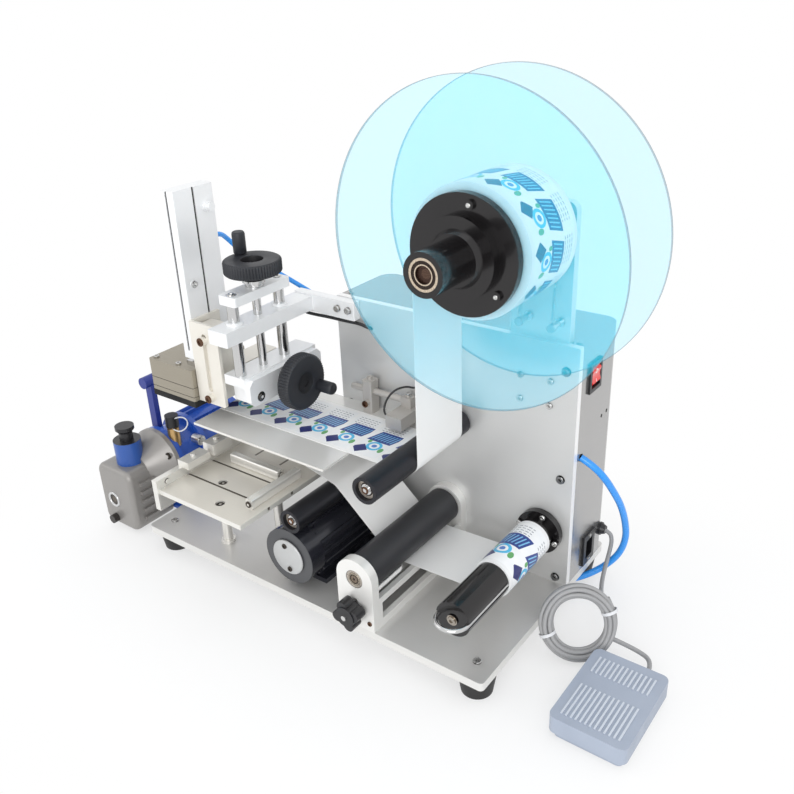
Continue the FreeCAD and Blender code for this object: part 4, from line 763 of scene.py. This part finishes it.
# Web sensor. A grey anodised fork with its lead, on a bright rod held in a slotted post.
sensor_metal = brushed_metal("sensor_metal", tint(186, 182, 177), 0.38, (1, 0.2, 1), 0.4, 700, 0.03)
dress(sensor_metal, "sensor_post", "web_sensor")
sensor_lead = smooth_line("sensor_lead", [(41, 4, 208), (37, 3.5, 208), (28.5, 5, 214), (28.5, 11, 227),
                                          (35, 20, 238), (44, 31, 240), (49, 38, 236), (49, 43, 235)], 0.0025, cable_black)
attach(sensor_lead, "sensor")
screws("sensor_screws", [(47, 30, 231)], UP, 3.4, 1.6, bright_steel, "sensor", 0.5)
screws("sensor_clamp_screw", [(-9, 18.4, 208)], FRONT, 4.2, 1.8, brown_screw, "stand", 0.5)

# Peel plate, table, rail and stop bars. The plate is polished sheet; the table is milled and blasted, its
# rail and bars are bright, and sunk screws with a dark ring hold it on its posts.
dress(brushed_metal("peel_steel", tint(230, 229, 226), 0.2, (0.1, 1, 1), 0.35, 500, 0.01), "peel_plate")
table_metal = brushed_metal("table_metal", tint(220, 216, 207), 0.38, (0.1, 1, 1), 0.35, 700, 0.02,
                            edge=tint(222, 220, 214))
tree = table_metal.node_tree
principled = tree.nodes["Principled BSDF"]
x, y, z = place_of(tree)
# Painted shade: the grooves' sunk faces and two short slots on the top are darkened; the slots are only coloured in,
# not cut.
grooved = calc(tree, "MAXIMUM", near(tree, y, -141.5, 1.7), near(tree, y, -103.5, 1.7))
sunk = calc(tree, "MULTIPLY", calc(tree, "LESS_THAN", z, 144.6), calc(tree, "GREATER_THAN", z, 141))
plain_colour = principled.inputs["Base Color"].links[0].from_socket
painted_hollow_shade = calc(tree, "MULTIPLY", grooved, sunk)
for centre, low, high in ((-117.6, -67, -38), (-76.1, -68, -47)):
    slot = calc(tree, "MULTIPLY", near(tree, x, centre, 1.4),
                calc(tree, "MULTIPLY", calc(tree, "GREATER_THAN", y, low), calc(tree, "LESS_THAN", y, high)))
    painted_hollow_shade = calc(tree, "MAXIMUM", painted_hollow_shade, calc(tree, "MULTIPLY", slot, calc(tree, "GREATER_THAN", z, 144.8)))
tree.links.new(blend_colours(tree, painted_hollow_shade, plain_colour, tint(104, 98, 90)), principled.inputs["Base Color"])
dress(table_metal, "table_plate")
rail_metal = brushed_metal("rail_metal", tint(228, 226, 221), 0.2, (0.1, 1, 1), 0.5, 700, 0.02)
dress(rail_metal, "table_rail", "stop_bar_x", "stop_bar_y")
dark_steel = brushed_metal("dark_steel", tint(72, 66, 60), 0.38, (1, 1, 1), 0.9, 900, 0.05)
screws("table_screws", [(-105, -133, 142.2), (-75, -166, 142.2)], UP, 3.8, 2.2, dark_steel, "stand",
       0.55, 1.4)
screws("rail_screws", [(-154.9, -173, 151), (-154.9, -53, 151)], RIGHT, 3.2, 1.2, dark_steel, "stand",
       0.5)
screws("stop_screw_x", [(-51.6, -91, 151)], RIGHT, 3.8, 1, dark_steel, "stop_x", 0.5)
screws("stop_screw_y", [(-39, -156.4, 151)], FRONT, 3.8, 1.4, dark_steel, "stop_y", 0.5)
screws("clamp_screws", [(-153, -132, 165.4), (-153, -95, 170)], UP, 3.6, 2.6, bright_steel, "stand",
       0.55)


# Labels. Printed white film labels, forty millimetres long, on the glossy backing paper. The print is a
# plain design of shapes: a blue diamond, a striped panel, a ring and leaf spots.
def label_print(tree, along, across):
    """Colour of a label; along runs 0 to 40 mm over one label and across 0 to 76 mm from its front."""
    def length(x, y, stretch=1.0):
        first = calc(tree, "SUBTRACT", along, x)
        return distance_of(tree, first, calc(tree, "MULTIPLY", calc(tree, "SUBTRACT", across, y), stretch))

    def both(first, second):
        return calc(tree, "MULTIPLY", first, second)

    white = blend_colours(tree, noise(tree, 90), tint(226, 229, 232), tint(240, 241, 241))
    diamond = calc(tree, "LESS_THAN", calc(
        tree, "ADD", calc(tree, "ABSOLUTE", calc(tree, "SUBTRACT", along, 9)),
        calc(tree, "ABSOLUTE", calc(tree, "SUBTRACT", across, 11))), 10)
    slant = calc(tree, "MULTIPLY_ADD", across, -0.3, along)
    panel = both(near(tree, slant, 9.5, 16), near(tree, across, 43, 11.5))
    stripes = calc(tree, "GREATER_THAN", calc(tree, "SINE", calc(tree, "MULTIPLY", slant, 1.5)), 0.45)
    stripes = both(both(stripes, panel), near(tree, across, 43, 8))
    ring = both(calc(tree, "LESS_THAN", length(21, 22), 9.5), calc(tree, "GREATER_THAN", length(21, 22), 6))
    inner = calc(tree, "LESS_THAN", length(21, 22), 3.2)
    leaf = calc(tree, "LESS_THAN", length(33, 17, 0.6), 3)
    leaf_two = calc(tree, "LESS_THAN", length(10, 29, 0.7), 2.4)
    rows = calc(tree, "LESS_THAN", calc(tree, "FRACT", calc(tree, "MULTIPLY", across, 0.23)), 0.22)
    dashes = calc(tree, "LESS_THAN", calc(tree, "FRACT", calc(tree, "MULTIPLY", along, 0.19)), 0.7)
    lines = both(both(rows, dashes), both(near(tree, along, 20, 14), near(tree, across, 64, 8)))
    colour = blend_colours(tree, ring, white, tint(70, 178, 222))
    colour = blend_colours(tree, panel, colour, tint(26, 56, 132))
    colour = blend_colours(tree, stripes, colour, tint(120, 184, 222))
    colour = blend_colours(tree, diamond, colour, tint(24, 34, 104))
    colour = blend_colours(tree, inner, colour, tint(72, 120, 196))
    colour = blend_colours(tree, calc(tree, "MAXIMUM", leaf, leaf_two), colour, tint(92, 160, 96))
    return blend_colours(tree, lines, colour, tint(84, 92, 112))


def printed(name, along, across, covers):
    """Paper with labels; the three functions give the label's own lengths and where labels lie."""
    material, tree, principled = shader(name, tint(234, 235, 235), 0.3, 0.0, Coat_Weight=0.15)
    spots = place_of(tree)
    colour = label_print(tree, along(tree, spots), across(tree, spots))
    bare = blend_colours(tree, noise(tree, 30), tint(222, 224, 226), tint(236, 236, 235))
    mask = covers(tree, spots)
    tree.links.new(blend_colours(tree, mask, bare, colour), principled.inputs["Base Color"])
    bump(tree, principled, noise(tree, 500), 0.03)
    return material


def winding(x0, z0, radius, front, labels):
    """Print that runs round a roll: its functions for printed()."""
    def polar(tree, spots):
        first = calc(tree, "SUBTRACT", spots[0], x0)
        second = calc(tree, "SUBTRACT", spots[2], z0)
        far = distance_of(tree, first, second)
        return calc(tree, "ARCTAN2", second, first), far

    def along(tree, spots):
        angle, far = polar(tree, spots)
        share = calc(tree, "FRACT", calc(tree, "MULTIPLY_ADD", angle, -labels / (2 * math.pi), 10.35))
        return calc(tree, "MULTIPLY", share, 41.5)

    def across(tree, spots):
        return calc(tree, "SUBTRACT", spots[1], front + 5)

    def covers(tree, spots):
        angle, far = polar(tree, spots)
        outer = calc(tree, "GREATER_THAN", far, radius - 0.4)
        inside = calc(tree, "LESS_THAN", calc(tree, "ABSOLUTE", calc(tree, "SUBTRACT", spots[1], front + 43)), 38)
        return calc(tree, "MULTIPLY", outer, inside)
    return along, across, covers


dress(printed("roll_print", *winding(189, 447, 62.5, -66, 10)), "label_roll")
dress(printed("rewound_print", *winding(218, 102, 21.5, -66, 3)), "rewound_paper")
dress(moulded("backing_paper", tint(238, 238, 237), 0.32, 500, 0.04, depth=0.97, Coat_Weight=0.15), "label_web")
sheet_starts = [-174 + 40.3 * n for n in range(7)]


def flat_labels(shape):
    """Seven labels with round corners on the web over the peel plate."""
    for start in sheet_starts:
        outline = []
        left, right = max(start, -171), start + 38
        for x, y, first in ((right - 2, 13, 0), (left + 2, 13, 90), (left + 2, -59, 180), (right - 2, -59, 270)):
            for n in range(5):
                angle = math.radians(first + 22.5 * n)
                outline.append((x + 2 * math.cos(angle), y + 2 * math.sin(angle)))
        low = [shape.verts.new(mm(x, y, 195.0)) for x, y in outline]
        high = [shape.verts.new(mm(x, y, 195.14)) for x, y in outline]
        shape.faces.new(low)
        shape.faces.new(high)
        for n in range(len(outline)):
            m = (n + 1) % len(outline)
            shape.faces.new((low[n], low[m], high[m], high[n]))


def web_along(tree, spots):
    share = calc(tree, "FRACT", calc(tree, "DIVIDE", calc(tree, "ADD", spots[0], 174.7), 40.3))
    return calc(tree, "MULTIPLY", share, 40.3)


mesh_piece("web_labels", flat_labels, printed(
    "label_film", web_along, lambda tree, spots: calc(tree, "ADD", spots[1], 61),
    lambda tree, spots: calc(tree, "GREATER_THAN", spots[2], 100)), "stand")

# Drive motor. Cast and finned aluminium in glossy black paint, its front ring bare and matt, with a light
# aluminium disc on the middle held by two small screws.
motor_paint, tree, principled = shader("motor_paint", tint(36, 37, 44), 0.2, 0.3, Coat_Weight=0.3)
x, y, z = place_of(tree)
face = calc(tree, "LESS_THAN", y, -131.4)
tree.links.new(blend_colours(tree, face, blend_colours(tree, noise(tree, 30), tint(36, 37, 44), tint(52, 53, 61)),
                             tint(74, 75, 78)), principled.inputs["Base Color"])
tree.links.new(calc(tree, "MULTIPLY_ADD", face, 0.28, spread(tree, noise(tree, 40), 0.17, 0.27)),
               principled.inputs["Roughness"])
bump(tree, principled, noise(tree, 900), 0.06)
dress(motor_paint, "drive_motor")


def motor_disc(shape):
    turned(shape, (-10, -134, 78), (0, -1, 0),
           [(0, 1.1), (21.2, 1.1), (21.9, 0.7), (22.3, 0), (22.3, -0.6), (0, -0.6)])


mesh_piece("motor_front_disc", motor_disc, brushed_metal(
    "disc_metal", tint(196, 197, 197), 0.4, (0.05, 1, 0.3), 0.5, 700, 0.04), "stand")
screws("motor_screws", [(-10 + 15 * math.cos(math.radians(a)), -135, 78 + 15 * math.sin(math.radians(a)))
                        for a in (100, 280)], FRONT, 3.2, 1.6, dark_steel, "stand", 0.5)

# Vacuum pump. A light grey cast oil case with its blue filler cap and black knob, a blue finned motor with
# a dark blue handle, and brass and black intake fittings.
pump_blue = moulded("pump_blue", tint(34, 82, 178), 0.3, 700, 0.12, Coat_Weight=0.25)
case_grey = moulded("case_grey", tint(150, 147, 144), 0.34, 700, 0.12, 0.35)
dress(pump_blue, "pump_motor", "pump_base")
dress(case_grey, "pump_oil_case")
dress(moulded("handle_blue", tint(38, 54, 138), 0.36, 700, 0.1), "pump_handle")
fittings, tree, principled = shader("pump_fittings_finish", tint(46, 84, 152), 0.35)
x, y, z = place_of(tree)
in_front = calc(tree, "LESS_THAN", y, -90)
knob_high = calc(tree, "GREATER_THAN", z, 127.6)
above_case = calc(tree, "GREATER_THAN", z, 90)
front_colour = blend_colours(tree, above_case, tint(40, 36, 34), tint(44, 84, 158))
front_colour = blend_colours(tree, knob_high, front_colour, tint(34, 34, 37))
cap_high = calc(tree, "GREATER_THAN", z, 134.8)
rear_colour = blend_colours(tree, cap_high, tint(202, 168, 116), tint(30, 30, 32))
silver = calc(tree, "GREATER_THAN", y, -46)
rear_colour = blend_colours(tree, silver, rear_colour, tint(206, 206, 206))
tree.links.new(blend_colours(tree, in_front, rear_colour, front_colour), principled.inputs["Base Color"])
bare_metal = calc(tree, "MAXIMUM", calc(tree, "SUBTRACT", 1, cap_high), silver)
tree.links.new(calc(tree, "MULTIPLY", bare_metal, calc(tree, "SUBTRACT", 1, in_front)),
               principled.inputs["Metallic"])
tree.links.new(spread(tree, noise(tree, 60), 0.26, 0.36), principled.inputs["Roughness"])
bump(tree, principled, noise(tree, 900), 0.05)
dress(fittings, "pump_fittings")


def sight_ring(shape):
    turned(shape, (-328, -136.4, 45), (0, -1, 0),
           [(0, 0.6), (7.6, 0.6), (7.9, 1.6), (8.4, 2.1), (10.6, 2.1), (11.3, 1.4), (11.4, -0.6), (0, -0.6)])


mesh_piece("sight_glass_ring", sight_ring, banded("sight_bands", [
    (0.0, tint(92, 84, 74)), (0.36, tint(62, 56, 50)), (0.67, tint(198, 198, 198))], 0.2, 0.5), "stand")


def cap_strap(shape):
    knots = [(-275, -61, 148), (-271, -55, 150), (-262, -51, 149), (-255, -53, 145), (-254, -58, 139),
             (-261, -63, 134), (-270, -63, 133), (-277, -62, 133)]
    line = bpy.data.curves.new("strap_line", "CURVE")
    line.dimensions = "3D"
    spline = line.splines.new("NURBS")
    spline.points.add(len(knots) - 1)
    for point, knot in zip(spline.points, knots):
        point.co = (*knot, 1)
    spline.order_u = 3
    spline.use_endpoint_u = True
    line.resolution_u = 6
    holder = bpy.data.objects.new("strap_line", line)
    path = bpy.data.meshes.new_from_object(holder)
    tube_line(shape, [tuple(v.co) for v in path.vertices], 0.9, 8)
    bpy.data.objects.remove(holder)


mesh_piece("intake_cap_strap", cap_strap, tie_white, "stand")
screws("case_bolts", [(-272, -80, 102)], FRONT, 4.8, 2.4, dark_steel, "stand", 0.5)
screws("gas_screw_head", [(-262, -30, 105)], RIGHT, 5.6, 1.6, bright_steel, "stand", 0.35, 1.2)

# Foot pedal. Two mouldings in blue-grey plastic; above 27.2 mm, on the tops of the tread's ribs, the colour is paler
# than the rest.
pedal_plastic, tree, principled = shader("pedal_plastic", tint(150, 162, 176), 0.42)
x, y, z = place_of(tree)
# Everything above 27.2 mm, the tops of the tread's ribs, is given a paler colour.
rib_tops = calc(tree, "GREATER_THAN", z, 27.2)
body_colour = blend_colours(tree, noise(tree, 26), tint(150, 159, 175), tint(164, 173, 188))
tree.links.new(blend_colours(tree, rib_tops, body_colour, tint(196, 203, 213)), principled.inputs["Base Color"])
tree.links.new(spread(tree, noise(tree, 50), 0.38, 0.5), principled.inputs["Roughness"])
bump(tree, principled, noise(tree, 1200), 0.2)
dress(pedal_plastic, "pedal_base", "pedal_treadle")


def return_spring(shape):
    """A coil spring of eight turns between the tray and the tread, in millimetres."""
    turns, per_turn, coil_radius, low, rise = 8, 20, 5.2, 3.9, 17
    line = []
    for n in range(turns * per_turn + 1):
        angle = 2 * math.pi * n / per_turn
        line.append((359 + coil_radius * math.cos(angle), -95 + coil_radius * math.sin(angle),
                     low + rise * n / (turns * per_turn)))
    tube_line(shape, line, 0.8, 8)


return_coil = mesh_piece("pedal_return_spring", return_spring, chrome, "stand")
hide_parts("pedal_spring")
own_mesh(return_coil)

# Reel discs. Clear acrylic sheet with a cyan tint; the cut rim shows as a thin darker line.
clear, tree, principled = shader("clear_acrylic", (0.03, 0.74, 1.0), 0.04, 0.0, IOR=1.3)
x, y, z = place_of(tree)
across, high = calc(tree, "SUBTRACT", x, 189), calc(tree, "SUBTRACT", z, 447)
distance = distance_of(tree, across, high)
rim = calc(tree, "GREATER_THAN", distance, 149.5)
tree.links.new(calc(tree, "MULTIPLY_ADD", rim, 0.4, 0.146), principled.inputs["Alpha"])
tree.links.new(blend_colours(tree, rim, (0.03, 0.74, 1.0), tint(104, 136, 150)), principled.inputs["Base Color"])
dress(clear, "reel_discs")

# Floor and light. A white sweep under and behind the machine that fades to plain white a short way from
# it, and three wide lamps: overhead, from the left and, the strongest, from the front right.
bpy.ops.mesh.primitive_plane_add(size=12, location=(0, 0, -0.0005))
floor = bpy.context.object
floor.name = "floor"
sweep, tree, principled = shader("white_sweep", (0.86, 0.86, 0.86), 0.9)
output = tree.nodes["Material Output"]
plain = tree.nodes.new("ShaderNodeEmission")
plain.inputs["Color"].default_value = (1, 1, 1, 1)
plain.inputs["Strength"].default_value = 1.0
rays = tree.nodes.new("ShaderNodeLightPath")
seen = calc(tree, "MAXIMUM", calc(tree, "MAXIMUM", rays.outputs["Is Camera Ray"], rays.outputs["Is Glossy Ray"]),
            rays.outputs["Is Transmission Ray"])
x, y, z = place_of(tree)
away = calc(tree, "MAXIMUM", calc(tree, "SUBTRACT", calc(tree, "ABSOLUTE", calc(tree, "SUBTRACT", x, 22)), 250),
            calc(tree, "SUBTRACT", calc(tree, "ABSOLUTE", calc(tree, "ADD", y, 22)), 120))
fade = tree.nodes.new("ShaderNodeMapRange")
fade.interpolation_type = "SMOOTHSTEP"
for label, value in (("From Min", 0.0), ("From Max", 320.0), ("To Min", 0.55), ("To Max", 1.0)):
    fade.inputs[label].default_value = value
tree.links.new(away, fade.inputs["Value"])
mix = tree.nodes.new("ShaderNodeMixShader")
tree.links.new(calc(tree, "MULTIPLY", seen, fade.outputs["Result"]), mix.inputs["Fac"])
tree.links.new(principled.outputs[0], mix.inputs[1])
tree.links.new(plain.outputs[0], mix.inputs[2])
tree.links.new(mix.outputs[0], output.inputs["Surface"])
floor.data.materials.append(sweep)

world = bpy.data.worlds.new("studio")
bpy.context.scene.world = world
world.use_nodes = True
tree = world.node_tree
tree.nodes.clear()
rays = tree.nodes.new("ShaderNodeLightPath")
backdrop = tree.nodes.new("ShaderNodeBackground")
backdrop.inputs["Color"].default_value = (1, 1, 1, 1)
backdrop.inputs["Strength"].default_value = 1.0
lighting = tree.nodes.new("ShaderNodeBackground")
lighting.inputs["Color"].default_value = (0.98, 0.99, 1.0, 1)
lighting.inputs["Strength"].default_value = 1.05
mix = tree.nodes.new("ShaderNodeMixShader")
output = tree.nodes.new("ShaderNodeOutputWorld")
seen = calc(tree, "MAXIMUM", calc(tree, "MAXIMUM", rays.outputs["Is Camera Ray"], rays.outputs["Is Glossy Ray"]),
            rays.outputs["Is Transmission Ray"])
tree.links.new(seen, mix.inputs["Fac"])
tree.links.new(lighting.outputs[0], mix.inputs[1])
tree.links.new(backdrop.outputs[0], mix.inputs[2])
tree.links.new(mix.outputs[0], output.inputs["Surface"])


def lamp(name, place, target, width, power, colour=(1, 1, 1)):
    data = bpy.data.lights.new(name, "AREA")
    data.size = width
    data.energy = power
    data.color = colour
    obj = bpy.data.objects.new(name, data)
    bpy.context.scene.collection.objects.link(obj)
    obj.location = place
    obj.rotation_euler = (Vector(target) - Vector(place)).to_track_quat("-Z", "Y").to_euler()


lamp("overhead", (0.2, -0.4, 2.2), (0, 0, 0.2), 1.6, 3)
lamp("left_soft", (-1.8, -1.6, 1.3), (0, 0, 0.2), 1.2, 4)
lamp("front_soft", (1.2, -2.2, 1.0), (0, 0, 0.2), 1.6, 26)
bpy.context.scene.view_settings.view_transform = "Standard"
